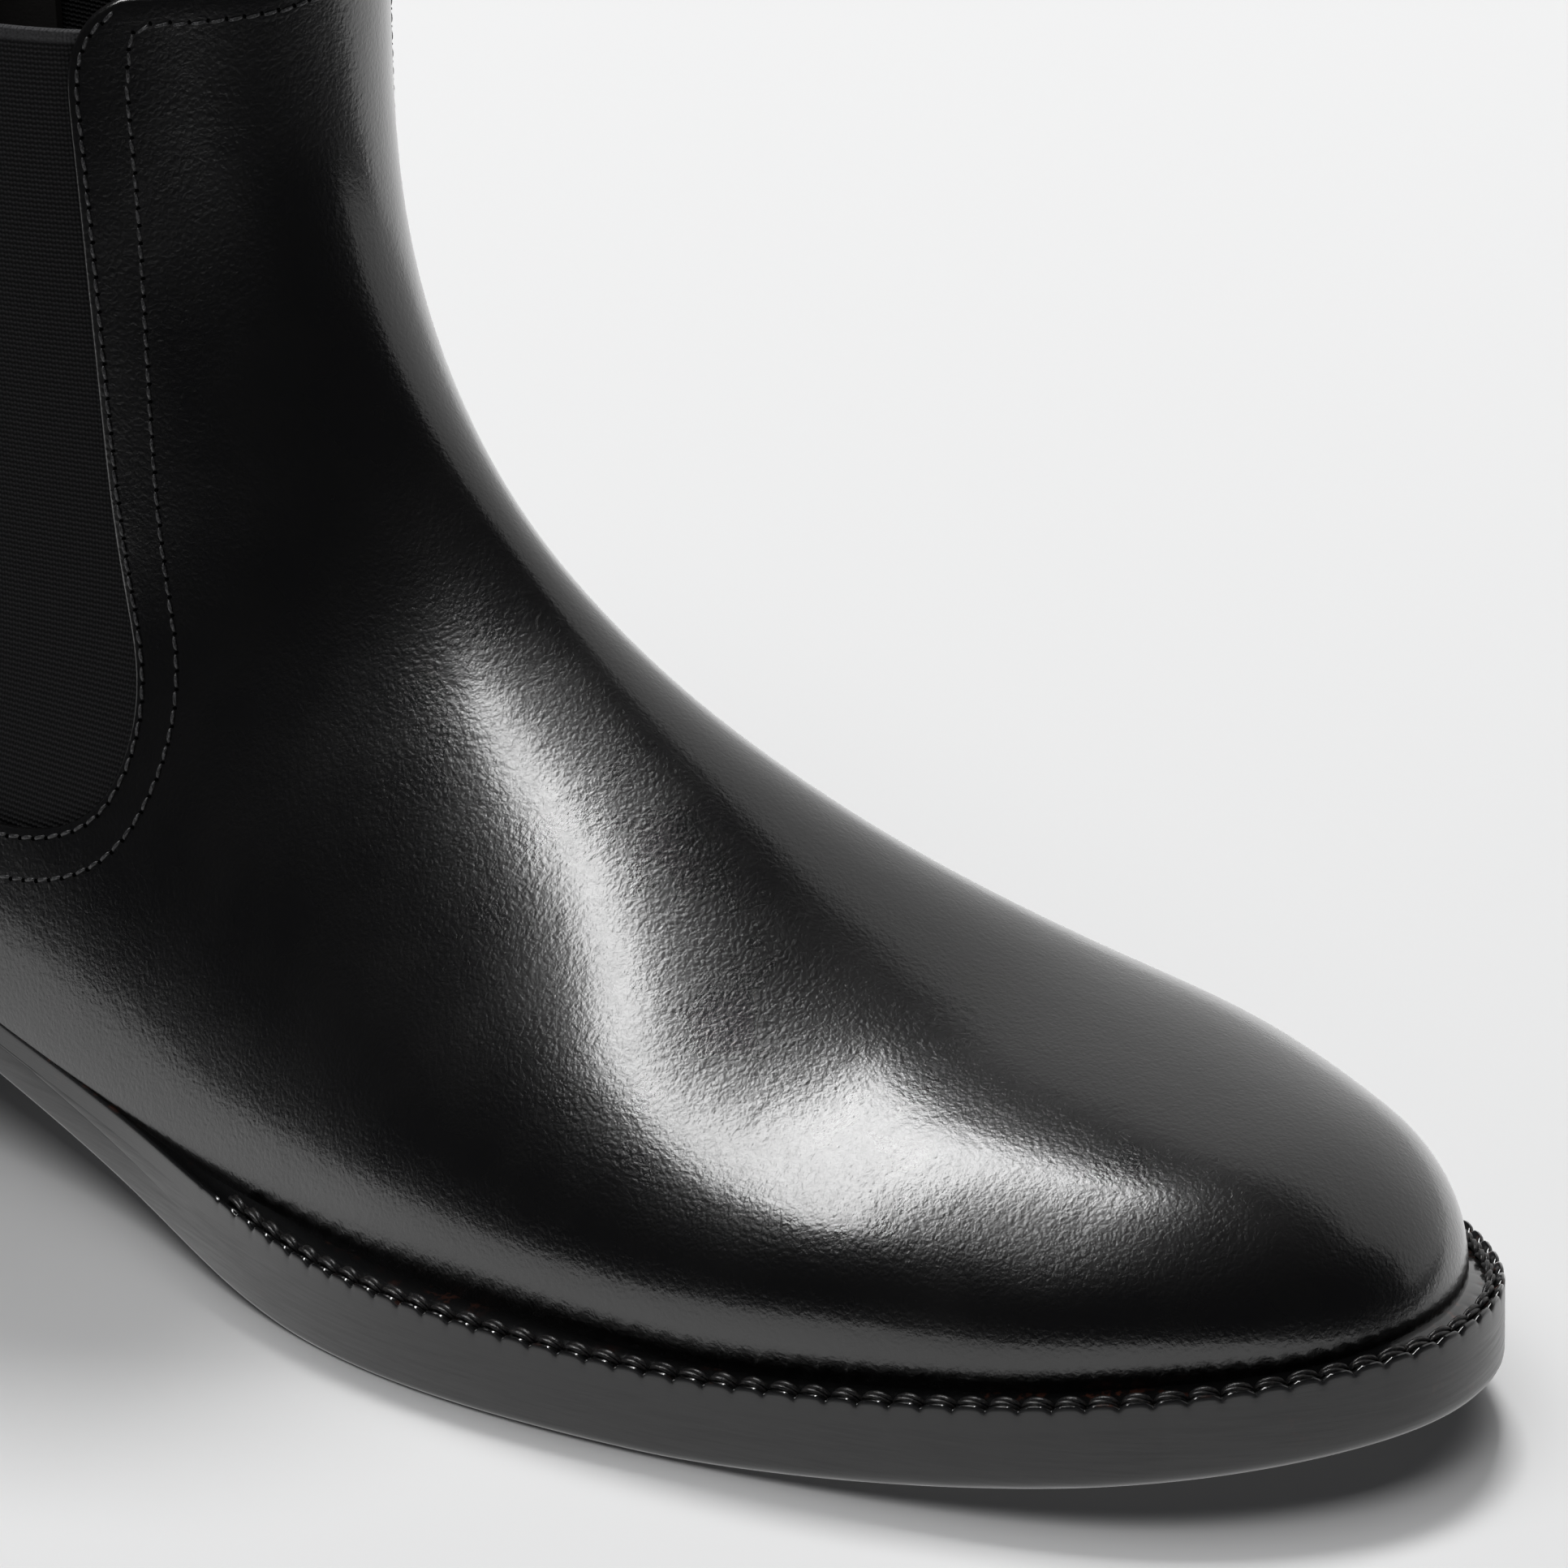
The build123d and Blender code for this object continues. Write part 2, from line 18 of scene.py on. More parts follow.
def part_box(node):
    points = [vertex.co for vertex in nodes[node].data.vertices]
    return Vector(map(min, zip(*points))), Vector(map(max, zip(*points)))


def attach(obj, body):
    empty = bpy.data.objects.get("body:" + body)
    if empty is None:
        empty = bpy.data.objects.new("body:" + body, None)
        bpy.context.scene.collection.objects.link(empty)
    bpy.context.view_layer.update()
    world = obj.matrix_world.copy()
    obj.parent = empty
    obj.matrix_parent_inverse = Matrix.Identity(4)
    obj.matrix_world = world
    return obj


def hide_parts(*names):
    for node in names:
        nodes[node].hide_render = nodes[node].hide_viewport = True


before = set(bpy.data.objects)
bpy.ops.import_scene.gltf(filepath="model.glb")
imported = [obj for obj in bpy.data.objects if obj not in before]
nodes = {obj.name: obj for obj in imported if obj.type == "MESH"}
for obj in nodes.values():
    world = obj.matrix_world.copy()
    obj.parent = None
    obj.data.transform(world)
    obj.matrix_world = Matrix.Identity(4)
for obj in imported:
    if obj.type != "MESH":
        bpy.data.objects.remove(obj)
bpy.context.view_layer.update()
MM = 0.001

# %% [markdown]
# ## The boot's curves
#
# A boot is built on a last, and a last is a stack of cross-sections.  The same curves that shape
# the frame are written here again, so that the visible skins lie exactly on the solids under them:
# the height of the sole above the ground, the feather line where the upper meets the sole, the
# topline round the ankle, the sole's outline in plan, and the sections of the last.

# %% height curves
heel_breast, flat_start, flat_end = 36.0, 140.0, 188.0


def ground_gap(x):
    """Underside of the outsole above the ground, in mm."""
    x = np.asarray(x, float)
    back = np.clip(heel_breast - x, 0, 45)
    heel = 19.5 + 19.5 * 1.25 / (flat_start - heel_breast) * (back - back ** 2 / 90)
    t = np.clip((x - heel_breast) / (flat_start - heel_breast), 0, 1)
    waist = 19.5 * (1 - t) ** 2 * (1 + 0.75 * t)
    toe = 8.6 * (np.clip(x - flat_end, 0, None) / 80.0) ** 1.55
    return np.where(x < heel_breast, heel, np.where(x < flat_start, waist, toe))


def feather(x):
    """Top of the welt: the sole's edge is thin at the waist and full from the ball on."""
    t = np.clip((np.asarray(x, float) - 62.0) / 68.0, 0, 1)
    return ground_gap(x) + 7.5 + 3.5 * (3 * t * t - 2 * t ** 3)


def topline(x):
    """Upper edge of the shaft, dipping a little over the gores."""
    along = np.clip((np.asarray(x, float) + 20) / 140, 0, 1)
    return 154.0 - 2 * np.sin(np.pi * along) - 3 * along


print("feather at waist and toe", feather(80.0), feather(258.0), "topline", topline(48.0))

# %% [markdown]
# A natural cubic spline joins the sections, because it bends as a thin batten does: no kinks, so
# a polished surface shows one clean reflection instead of a broken one.

# %% splines
sections = np.array([
    (100.0, 176.0, -19.5, 177.0, -1.0, 37.3, 0.50, 2.10, 2.20, 0.0),
    (98.0, 158.0, -20.5, 159.0, -1.0, 36.9, 0.50, 2.10, 2.20, 0.0),
    (97.5, 139.0, -22.5, 139.0, -1.0, 36.6, 0.49, 2.10, 2.20, 0.0),
    (99.5, 121.0, -27.0, 114.0, -0.7, 36.4, 0.47, 2.00, 2.20, 0.0),
    (105.0, 106.5, -33.0, 86.0, -0.2, 35.6, 0.43, 1.90, 2.15, 0.0),
    (113.5, 94.5, -36.5, 56.0, -0.2, 34.5, 0.36, 1.85, 2.15, 0.5),
    (125.5, 83.0, -32.0, 20.0, -0.9, 33.2, 0.31, 1.85, 2.30, 1.5),
    (142.0, 72.0, 8.0, 4.0, -3.2, 32.8, 0.34, 1.95, 2.45, 3.0),
    (161.5, 62.0, 66.0, -6.0, -5.2, 35.5, 0.38, 2.05, 2.60, 5.0),
    (180.0, 52.5, 118.0, -10.0, -5.0, 41.5, 0.42, 2.10, 2.75, 7.0),
    (199.5, 44.8, 160.0, -10.0, -0.5, 45.0, 0.45, 2.10, 2.75, 6.0),
    (218.5, 41.0, 190.0, -8.0, 3.0, 43.0, 0.47, 2.10, 2.70, 3.5),
    (235.5, 38.0, 207.0, -5.0, 4.5, 38.2, 0.44, 2.10, 2.50, 2.0),
    (249.5, 34.0, 217.0, -2.0, 5.2, 33.5, 0.40, 2.05, 2.40, 1.0),
    (258.5, 27.2, 220.0, 0.0, 5.8, 29.3, 0.35, 2.00, 2.30, 0.0),
    (260.8, 17.6, 221.0, 1.0, 6.6, 25.0, 0.35, 2.00, 2.20, 0.0),
    (259.0, 8.0, 221.0, 0.0, 7.0, 21.5, 0.40, 2.00, 2.20, 0.0),
])


def bends(knots, values):
    """Second derivatives of a natural cubic spline through the values."""
    n = len(knots)
    a, b = np.zeros((n, n)), np.zeros_like(values)
    a[0, 0] = a[-1, -1] = 1
    h = np.diff(knots)
    for i in range(1, n - 1):
        a[i, i - 1:i + 2] = h[i - 1], 2 * (h[i - 1] + h[i]), h[i]
        b[i] = 6 * ((values[i + 1] - values[i]) / h[i] - (values[i] - values[i - 1]) / h[i - 1])
    return np.linalg.solve(a, b)


def spline_at(knots, values, second, t):
    """The spline's value at t."""
    t = np.clip(np.asarray(t, float), knots[0], knots[-1])
    i = np.clip(np.searchsorted(knots, t) - 1, 0, len(knots) - 2)
    h = knots[i + 1] - knots[i]
    p, q = (knots[i + 1] - t) / h, (t - knots[i]) / h
    p, q, h = p[..., None], q[..., None], h[..., None]
    bend = (p ** 3 - p) * second[i] + (q ** 3 - q) * second[i + 1]
    return p * values[i] + q * values[i + 1] + bend * h ** 2 / 6


steps = np.linalg.norm(np.diff(sections[:, :4], axis=0), axis=1)
section_knots = np.concatenate([[0], np.cumsum(steps)])
section_bends = bends(section_knots, sections)
print("run of the last", round(float(section_knots[-1]), 1), "mm")


def last_point(run, angle, sunk=0.0):
    """A point on the last: run along the sections, angle round them from the ridge, sunk inwards."""
    row = np.moveaxis(spline_at(section_knots, sections, section_bends, run), -1, 0)
    ridge_x, ridge_z, base_x, base_z, centre, half, full, top_power, low_power, lean = row
    reach = np.hypot(ridge_x - base_x, ridge_z - base_z)
    low, high = sunk, reach - sunk
    middle = low + full * (high - low)
    up, out = np.cos(angle), np.sin(angle)
    power = 2 / np.where(up > 0, top_power, low_power)
    lift = np.abs(up) ** power
    height = middle + lift * np.where(up > 0, high - middle, low - middle)
    side = centre + lean * np.where(up > 0, lift ** 2, 0) - np.sign(out) * np.abs(out) ** power * (half - sunk)
    x = base_x + height * (ridge_x - base_x) / reach
    z = base_z + height * (ridge_z - base_z) / reach
    return np.stack([x, side + 0 * x, z], -1)


# %% [markdown]
# ## A smooth skin for the whole upper
#
# The skin is a grid: rows follow the last's sections, and columns run from the ridge round to the
# back or to the feather line.  Each row is divided evenly by length, so all quads are alike and
# the polish reads evenly.  At the toe the rows close to a point that lies hidden on the feather line.

# %% the base skin
DIP = 1.6       # the skin runs this far below the top of the welt, into the crevice
COLUMNS = 96


def even_row(run, side):
    """One row on one side, from the ridge to the back line or the feather line, evenly divided."""
    angle = np.linspace(0, np.pi, 720) * side
    p = last_point(np.full(720, run), angle)
    under = np.nonzero(p[:, 2] < feather(p[:, 0]) - DIP)[0]
    if len(under) and under[0] == 0:
        return np.repeat(p[:1], COLUMNS + 1, 0)
    if len(under):
        i = under[0]
        a = p[i - 1, 2] - feather(p[i - 1, 0]) + DIP
        b = p[i, 2] - feather(p[i, 0]) + DIP
        p = np.vstack([p[:i], p[i - 1] + (p[i] - p[i - 1]) * a / (a - b)])
    length = np.concatenate([[0], np.cumsum(np.linalg.norm(np.diff(p, axis=0), axis=1))])
    even = np.linspace(0, length[-1], COLUMNS + 1)
    return np.stack([np.interp(even, length, p[:, k]) for k in range(3)], -1)


def toe_end():
    """The run at which the ridge itself reaches the feather line."""
    runs = np.linspace(section_knots[13], section_knots[16], 4000)
    p = last_point(runs, np.zeros(4000))
    return runs[np.nonzero(p[:, 2] < feather(p[:, 0]) - DIP)[0][0]]


def row_places(run):
    """Five places on a row: the ridge, the row's end and three between them."""
    return even_row(run, -1)[[0, 24, 48, 72, COLUMNS]]


# The rows fan out round the heel, so they are spaced by the place that moves furthest.
ROWS = 250
trial_runs = np.linspace(section_knots[1], toe_end(), 400)
moves = np.linalg.norm(np.diff([row_places(r) for r in trial_runs], axis=0), axis=2).max(1)
moved = np.concatenate([[0], np.cumsum(np.clip(moves, 0.2, 6.0))])
row_runs = np.interp(np.linspace(0, moved[-1], ROWS), moved, trial_runs)
skin_grid = np.array([np.vstack([even_row(r, -1)[::-1], even_row(r, 1)[1:]]) for r in row_runs])
print("skin grid", skin_grid.shape)


def grid_normals(grid):
    """Outward normals of a grid of points."""
    along = np.gradient(grid, axis=0)
    across = np.gradient(grid, axis=1)
    normal = np.cross(across, along)
    size = np.linalg.norm(normal, axis=-1, keepdims=True)
    return normal / np.where(size < 1e-9, 1, size)


rows, cols = skin_grid.shape[:2]
skin_points = skin_grid.reshape(-1, 3)
skin_quads = []
for i in range(rows - 1):
    for j in range(cols - 1):
        k = i * cols + j
        skin_quads.append((k, k + 1, k + cols + 1, k + cols))
skin_quads = np.array(skin_quads)
skin_tree = BVHTree.FromPolygons([tuple(p) for p in skin_points], [tuple(q) for q in skin_quads])


def on_skin(points):
    """Nearest points on the skin and the skin's outward normals there."""
    found, normals = [], []
    for p in points:
        spot, normal, _, _ = skin_tree.find_nearest(Vector(p))
        found.append(spot)
        normals.append(normal)
    normals = np.array(normals)
    return np.array(found), normals


def skin_beside(x, z, side):
    """The point of the skin seen from the side at x, z (side -1 is the outer side), and its normal."""
    spot, normal, _, _ = skin_tree.ray_cast(Vector((x, 90.0 * side, z)), Vector((0, -side, 0)))
    if spot is None:
        spot, normal, _, _ = skin_tree.find_nearest(Vector((x, 36.0 * side, z)))
    if normal.y * side < 0:
        normal = -normal
    return np.array(spot), np.array(normal)


print("a point on the outer side", skin_beside(100.0, 60.0, -1)[0].round(1))

# %% [markdown]
# ## The gore opening
#
# The elastic gore lies in a tall U-shaped window.  Its outline is one smooth line, and a signed
# distance to it drives everything near it: where the leather stops, where the elastic starts and
# where the rows of stitches run.

# %% the opening's outline
seam_x, gore_half, gore_floor, corner = 48.0, 32.0, 42.5, 9.0
gore_top = float(topline(seam_x))
elastic_top = gore_top - 5.0


def gore_edge(direction, flare):
    """One edge of the opening, from the topline down to the floor."""
    edge = [
        (gore_half + corner, gore_top + 1.0), (gore_half + 0.45 * corner, gore_top - 1.6),
        (gore_half + 0.1 * corner, gore_top - 6.5), (gore_half, gore_top - 16.0),
        (gore_half + 0.1 * flare, gore_floor + 50.0), (gore_half + 0.5 * flare, gore_floor + 30.0),
        (gore_half + flare, gore_floor + 14.5), (gore_half + 0.55 * flare, gore_floor + 6.0),
        (gore_half - 4.5, gore_floor + 1.4),
    ]
    return [(seam_x + direction * x, z) for x, z in edge]


gore_points = np.array(gore_edge(1, 6.0) + [(seam_x, gore_floor)] + gore_edge(-1, 2.1)[::-1])
gore_knots = np.concatenate([[0], np.cumsum(np.linalg.norm(np.diff(gore_points, axis=0), axis=1))])
gore_bends = bends(gore_knots, gore_points)
gore_line = spline_at(gore_knots, gore_points, gore_bends, np.linspace(0, gore_knots[-1], 260))
gore_loop = np.vstack([[gore_line[0, 0], 400], gore_line, [gore_line[-1, 0], 400]])


def outside_gore(x, z):
    """Distance from the opening in side view, negative inside it."""
    p = np.stack([x, z], -1)
    best = np.full(len(p), 1e9)
    inside = np.zeros(len(p), bool)
    for a, b in zip(gore_loop, np.roll(gore_loop, -1, 0)):
        d = b - a
        t = np.clip(((p - a) @ d) / (d @ d), 0, 1)
        best = np.minimum(best, np.linalg.norm(p - a - t[:, None] * d, axis=1))
        if b[1] != a[1]:
            crosses = (a[1] > p[:, 1]) != (b[1] > p[:, 1])
            inside ^= crosses & (p[:, 0] < d[0] * (p[:, 1] - a[1]) / d[1] + a[0])
    return np.where(inside, -best, best)


print("opening", gore_line.min(0).round(1), gore_line.max(0).round(1))

# %% [markdown]
# ## Cutting a sheet out of the skin
#
# A clicker press cuts each leather panel from a hide.  Here a field says how far each point of the
# skin lies inside the panel: the points next to the edge slide onto it, and the quads outside are
# dropped.  A boolean cut would leave slivers along the edge; sliding keeps the quads whole.

# %% cut a panel
ROLL = 0.55              # radius of the rolled edge
NEAR_EDGE = 0.72         # points this close to the panel's edge slide onto it
LONGEST_SLIDE = 1.2      # the furthest a point slides in one step


def slide_to_edge(points, field):
    """Points moved over the skin onto the panel's edge, and the direction out of the panel there."""
    probe = 0.02
    for _ in range(3):
        value = field(points)
        slope = np.stack([(field(points + e * probe) - value) / probe for e in np.eye(3)], -1)
        normal = on_skin(points)[1]
        slope -= (slope * normal).sum(1, keepdims=True) * normal
        size = np.maximum((slope ** 2).sum(1, keepdims=True), 0.05)
        move = np.clip(value[:, None] * slope / size, -LONGEST_SLIDE, LONGEST_SLIDE)
        points = on_skin(points - move)[0]
    return points, -slope / np.sqrt(size)


def cut_out(field, window):
    """A mesh of the skin's quads where field(points) > 0, with its outer points on the edge."""
    points = skin_points.copy()
    use = window(points)
    value = np.full(len(points), -9.0)
    value[use] = field(points[use])
    near = np.nonzero(np.abs(value) < NEAR_EDGE)[0]
    points[near] = slide_to_edge(points[near], field)[0]
    value[near] = 0.0
    inside = value > -1e-6
    bm = bmesh.new()
    made = {}
    for quad in skin_quads[use[skin_quads].all(1)]:
        corners = list(dict.fromkeys(int(c) for c in quad if inside[c]))
        if len(corners) >= 3:
            for c in corners:
                if c not in made:
                    made[c] = bm.verts.new(points[c] * MM)
            bm.faces.new([made[c] for c in corners])
    edge = [v for v in bm.verts if v.is_boundary]
    spots = np.array([v.co for v in edge]) / MM
    gaps = np.abs(field(spots))
    short = np.nonzero((gaps > 0.02) & (gaps < 2.2))[0]
    if len(short):
        for i, spot in zip(short, slide_to_edge(spots[short], field)[0]):
            edge[i].co = Vector(spot) * MM
    bmesh.ops.remove_doubles(bm, verts=bm.verts, dist=0.16 * MM)
    bmesh.ops.dissolve_degenerate(bm, dist=0.05 * MM, edges=bm.edges)
    bmesh.ops.delete(bm, geom=[v for v in bm.verts if not v.link_faces], context="VERTS")
    return bm


# %% [markdown]
# Two points that slide onto nearly the same place can fold a face over, which shows as a glint in
# the polish.  So the points along the edge are spaced evenly, and the points beside them follow.

# %% even out the edge


def relax_edge(bm, field):
    """Evens out the points along a panel's edge and beside it; real corners stay."""
    edge = [v for v in bm.verts if v.is_boundary]
    gaps = field(np.array([v.co for v in edge]) / MM)
    edge = [v for v, gap in zip(edge, gaps) if abs(gap) < 0.1]
    inner = list(dict.fromkeys(e.other_vert(v) for v in edge for e in v.link_edges
                               if not e.other_vert(v).is_boundary))
    for _ in range(5):
        movable, middles = [], []
        for v in edge:
            ends = [e.other_vert(v).co for e in v.link_edges if e.is_boundary]
            if len(ends) != 2 or min((end - v.co).length for end in ends) < 1e-7:
                continue
            turn = (ends[0] - v.co).angle(v.co - ends[1])
            if turn < 0.6 or turn > 2.2:
                movable.append(v)
                middles.append((v.co + (ends[0] + ends[1]) / 2) / 2)
        for v, spot in zip(movable, slide_to_edge(np.array(middles) / MM, field)[0]):
            v.co = Vector(spot) * MM
        means = [sum((e.other_vert(v).co for e in v.link_edges), Vector()) / len(v.link_edges)
                 for v in inner]
        for v, spot in zip(inner, on_skin(np.array(means) / MM)[0]):
            v.co = v.co * 0.5 + Vector(spot) * (0.5 * MM)


def folded(bm):
    """How many faces lean far away from the skin under them."""
    bm.normal_update()
    count = 0
    for f in bm.faces:
        normal = skin_tree.find_nearest(f.calc_center_median() / MM)[1]
        count += abs(f.normal.dot(normal)) < 0.6
    return count


# %% [markdown]
# A cut edge of leather isn't sharp: it is skived, folded and hammered round.  Rings of points
# follow a quarter circle from the face of the panel down its thickness, and an inner copy of the
# panel closes it.  The Solidify modifier would leave a square edge that catches no light.

# %% roll the edge


def strip_faces(bm, rim, one, two):
    """Faces between two copies of the rim, turned the same way as the panel's own faces."""
    for a, b in rim:
        bm.faces.new([one[b], one[a], two[a], two[b]])


def ways_out(rims, normals, field):
    """For each point of the rim, the direction along the skin that leads out of the panel."""
    away = {}
    for e in rims:
        a, b = e.verts
        side = (b.co - a.co).cross(normals[a]).normalized()
        if side.dot(a.co - e.link_faces[0].calc_center_median()) < 0:
            side = -side
        for v in (a, b):
            away[v] = away.get(v, Vector()) + side
    spots = np.array([v.co for v in away]) / MM
    for v, gap, out in zip(list(away), field(spots), slide_to_edge(spots, field)[1]):
        away[v] = Vector(out).normalized() if abs(gap) < 0.1 else away[v].normalized()
    return away


def roll_edge(bm, thickness, sunk, field):
    """Gives a flat panel its thickness under the skin and a rounded edge."""
    outer = list(bm.faces)
    normals = {v: skin_tree.find_nearest(v.co / MM)[1] for v in bm.verts}
    rims = [e for e in bm.edges if e.is_boundary]
    rim = [(e.link_loops[0].vert, e.link_loops[0].link_loop_next.vert) for e in rims]
    inner = {v: bm.verts.new(v.co - normals[v] * (sunk + thickness) * MM) for v in list(bm.verts)}
    for v in inner:
        v.co = v.co - normals[v] * sunk * MM
    away = ways_out(rims, normals, field)
    roll = min(ROLL, thickness * 0.5)
    profile = [(math.sin(t) * roll, (1 - math.cos(t)) * roll) for t in (0.4, 0.8, 1.2, math.pi / 2)]
    profile += [(roll, thickness - 0.3 * roll), (0.7 * roll, thickness)]
    last = {v: v for v in away}
    for out, down in profile:
        ring = {v: bm.verts.new(v.co + (away[v] * out - normals[v] * down) * MM) for v in away}
        strip_faces(bm, rim, last, ring)
        last = ring
    strip_faces(bm, rim, last, inner)
    for f in outer:
        bm.faces.new([inner[v] for v in reversed(f.verts)])


def sheet_mesh(name, field, window, thickness, sunk=0.0):
    """A closed panel of the skin where field(points) > 0, with a rolled edge."""
    bm = cut_out(field, window)
    before = folded(bm)
    relax_edge(bm, field)
    after = folded(bm)
    bmesh.ops.recalc_face_normals(bm, faces=bm.faces)
    bm.normal_update()
    lean = sum(f.normal.dot(skin_tree.find_nearest(f.calc_center_median() / MM)[1])
               for f in list(bm.faces)[:200])
    if lean < 0:
        bmesh.ops.reverse_faces(bm, faces=bm.faces)
    roll_edge(bm, thickness, sunk, field)
    for f in bm.faces:
        f.smooth = True
    mesh = bpy.data.meshes.new(name)
    bm.to_mesh(mesh)
    bm.free()
    obj = bpy.data.objects.new(name, mesh)
    bpy.context.scene.collection.objects.link(obj)
    print(name, "faces", len(mesh.polygons), "folded", before, "then", after)
    return obj


# %% [markdown]
# ### The vamp and the quarter
#
# Two leather panels make the upper: the vamp in front of the side seam and the quarter behind it.
# Both stop a little short of the gore's outline, so that the roll ends on it.

# %% leather panels
LEATHER_THICKNESS = 1.25
SEAM_GAP = 0.25


def leather_field(p):
    """How far a point lies inside the leather, from the opening and from the topline."""
    gore = outside_gore(p[:, 0], p[:, 2])
    top = topline(p[:, 0]) - p[:, 2]
    return np.minimum(gore, top) - ROLL


def vamp_field(p):
    """Inside the vamp: in front of the side seam."""
    return np.minimum(leather_field(p), p[:, 0] - seam_x - SEAM_GAP)


def quarter_field(p):
    """Inside the quarter: behind the side seam."""
    return np.minimum(leather_field(p), seam_x - p[:, 0] - SEAM_GAP)


vamp = sheet_mesh("vamp_leather", vamp_field, lambda p: p[:, 0] > seam_x - 4, LEATHER_THICKNESS)
quarter = sheet_mesh("quarter_leather", quarter_field, lambda p: p[:, 0] < seam_x + 4, LEATHER_THICKNESS)

# %% [markdown]
# ### The elastic gores
#
# A gore is one piece of rib-knit elastic sewn behind each opening.  It runs 4 mm under the leather
# all round, and its top selvage ends below the topline, so the wearer's ankle can stretch it.

# %% elastic panels
ELASTIC_THICKNESS, ELASTIC_SUNK, ELASTIC_LAP = 0.8, 1.42, 4.0


def elastic_field(p):
    """Inside the elastic panel: under the leather's edge at the sides, open at the top."""
    return np.minimum(ELASTIC_LAP - outside_gore(p[:, 0], p[:, 2]), elastic_top - 0.3 - p[:, 2])


gore_outer = sheet_mesh("gore_elastic_outer", elastic_field, lambda p: p[:, 1] < 0,
                        ELASTIC_THICKNESS, ELASTIC_SUNK)
gore_inner = sheet_mesh("gore_elastic_inner", elastic_field, lambda p: p[:, 1] > 0,
                        ELASTIC_THICKNESS, ELASTIC_SUNK)

# %% [markdown]
# ## The topline's folded edge
#
# The leather is folded over the top of the layers and glued down inside, so no raw edges show.
# A strip with a half-round profile runs along the topline of each panel and ends at the gores.

# %% folded top edge


def make_object(name, points, faces, smooth=True):
    """A mesh object from points in mm."""
    mesh = bpy.data.meshes.new(name)
    mesh.from_pydata([tuple(p) for p in np.asarray(points) * MM], [], [tuple(f) for f in faces])
    mesh.validate()
    mesh.polygons.foreach_set("use_smooth", [smooth] * len(mesh.polygons))
    obj = bpy.data.objects.new(name, mesh)
    bpy.context.scene.collection.objects.link(obj)
    return obj


def swept(frames, profile, closed):
    """Points and faces of a profile carried along frames (place, out, up), with end caps if open."""
    rings = np.array([[p + o * a + u * b for a, b in profile] for p, o, u in frames])
    n, m = rings.shape[:2]
    faces = []
    for i in range(n if closed else n - 1):
        for j in range(m):
            a, b = i * m + j, i * m + (j + 1) % m
            c, d = ((i + 1) % n) * m + (j + 1) % m, ((i + 1) % n) * m + j
            faces.append((a, b, c, d))
    if not closed:
        faces.append(tuple(range(m - 1, -1, -1)))
        faces.append(tuple((n - 1) * m + j for j in range(m)))
    return rings.reshape(-1, 3), faces


def face_out(obj):
    """Normals outward, whatever way round the faces were made."""
    bm = bmesh.new()
    bm.from_mesh(obj.data)
    bmesh.ops.recalc_face_normals(bm, faces=bm.faces)
    bm.to_mesh(obj.data)
    bm.free()
    return obj


def crisp(obj, angle=38):
    """Smooth shading that stops at real corners."""
    obj.data.set_sharp_from_angle(angle=math.radians(angle))
    return obj


def topline_frames(inside):
    """Frames along the topline where inside(x) is true: place on the skin, outward, up."""
    frames = []
    for angle in np.linspace(-np.pi, np.pi, 361)[:-1]:
        runs = np.linspace(section_knots[1], section_knots[2], 60)
        p = last_point(runs, np.full(60, angle))
        gap = p[:, 2] - topline(p[:, 0])
        i = np.nonzero(gap < 0)[0][0]
        spot = p[i - 1] + (p[i] - p[i - 1]) * gap[i - 1] / (gap[i - 1] - gap[i])
        frames.append(spot)
    spots = np.array(frames)
    ahead = np.roll(spots, -1, 0) - np.roll(spots, 1, 0)
    out = np.cross(ahead, (0, 0, 1))
    out /= np.linalg.norm(out, axis=1, keepdims=True)
    centre = spots.mean(0)
    out *= np.sign(((spots - centre) * out).sum(1))[:, None]
    keep = inside(spots)
    start = np.nonzero(keep & ~np.roll(keep, 1))[0][0]
    order = [(start + i) % len(spots) for i in range(len(spots))]
    order = order[:int(keep.sum())]
    return [(spots[i], out[i], np.array((0, 0, 1.0))) for i in order]


fold_profile = [(-0.5, -0.6), (-0.62, 0.02), (-1.0, 0.2), (-2.0, 0.28), (-2.9, 0.18), (-3.35, -0.25),
                (-3.45, -1.2), (-3.42, -5.0), (-3.15, -5.2), (-3.1, -0.6), (-2.0, -0.4)]
front_frames = topline_frames(lambda s: s[:, 0] > seam_x + gore_half + 7.2)
back_frames = topline_frames(lambda s: s[:, 0] < seam_x - gore_half - 7.2)
fold_front = face_out(make_object("topline_fold_front", *swept(front_frames, fold_profile, False)))
fold_back = face_out(make_object("topline_fold_back", *swept(back_frames, fold_profile, False)))
print("fold frames", len(front_frames), len(back_frames))

# %% [markdown]
# ## The welt
#
# The welt is the leather strip that carries the seam through the sole.  A hot wheel is run along
# it after sewing: it presses a notch between every two stitches, so the edge turns into a row of
# small scallops.  The notches here come from the same count as the stitches, so each scallop
# carries one stitch.

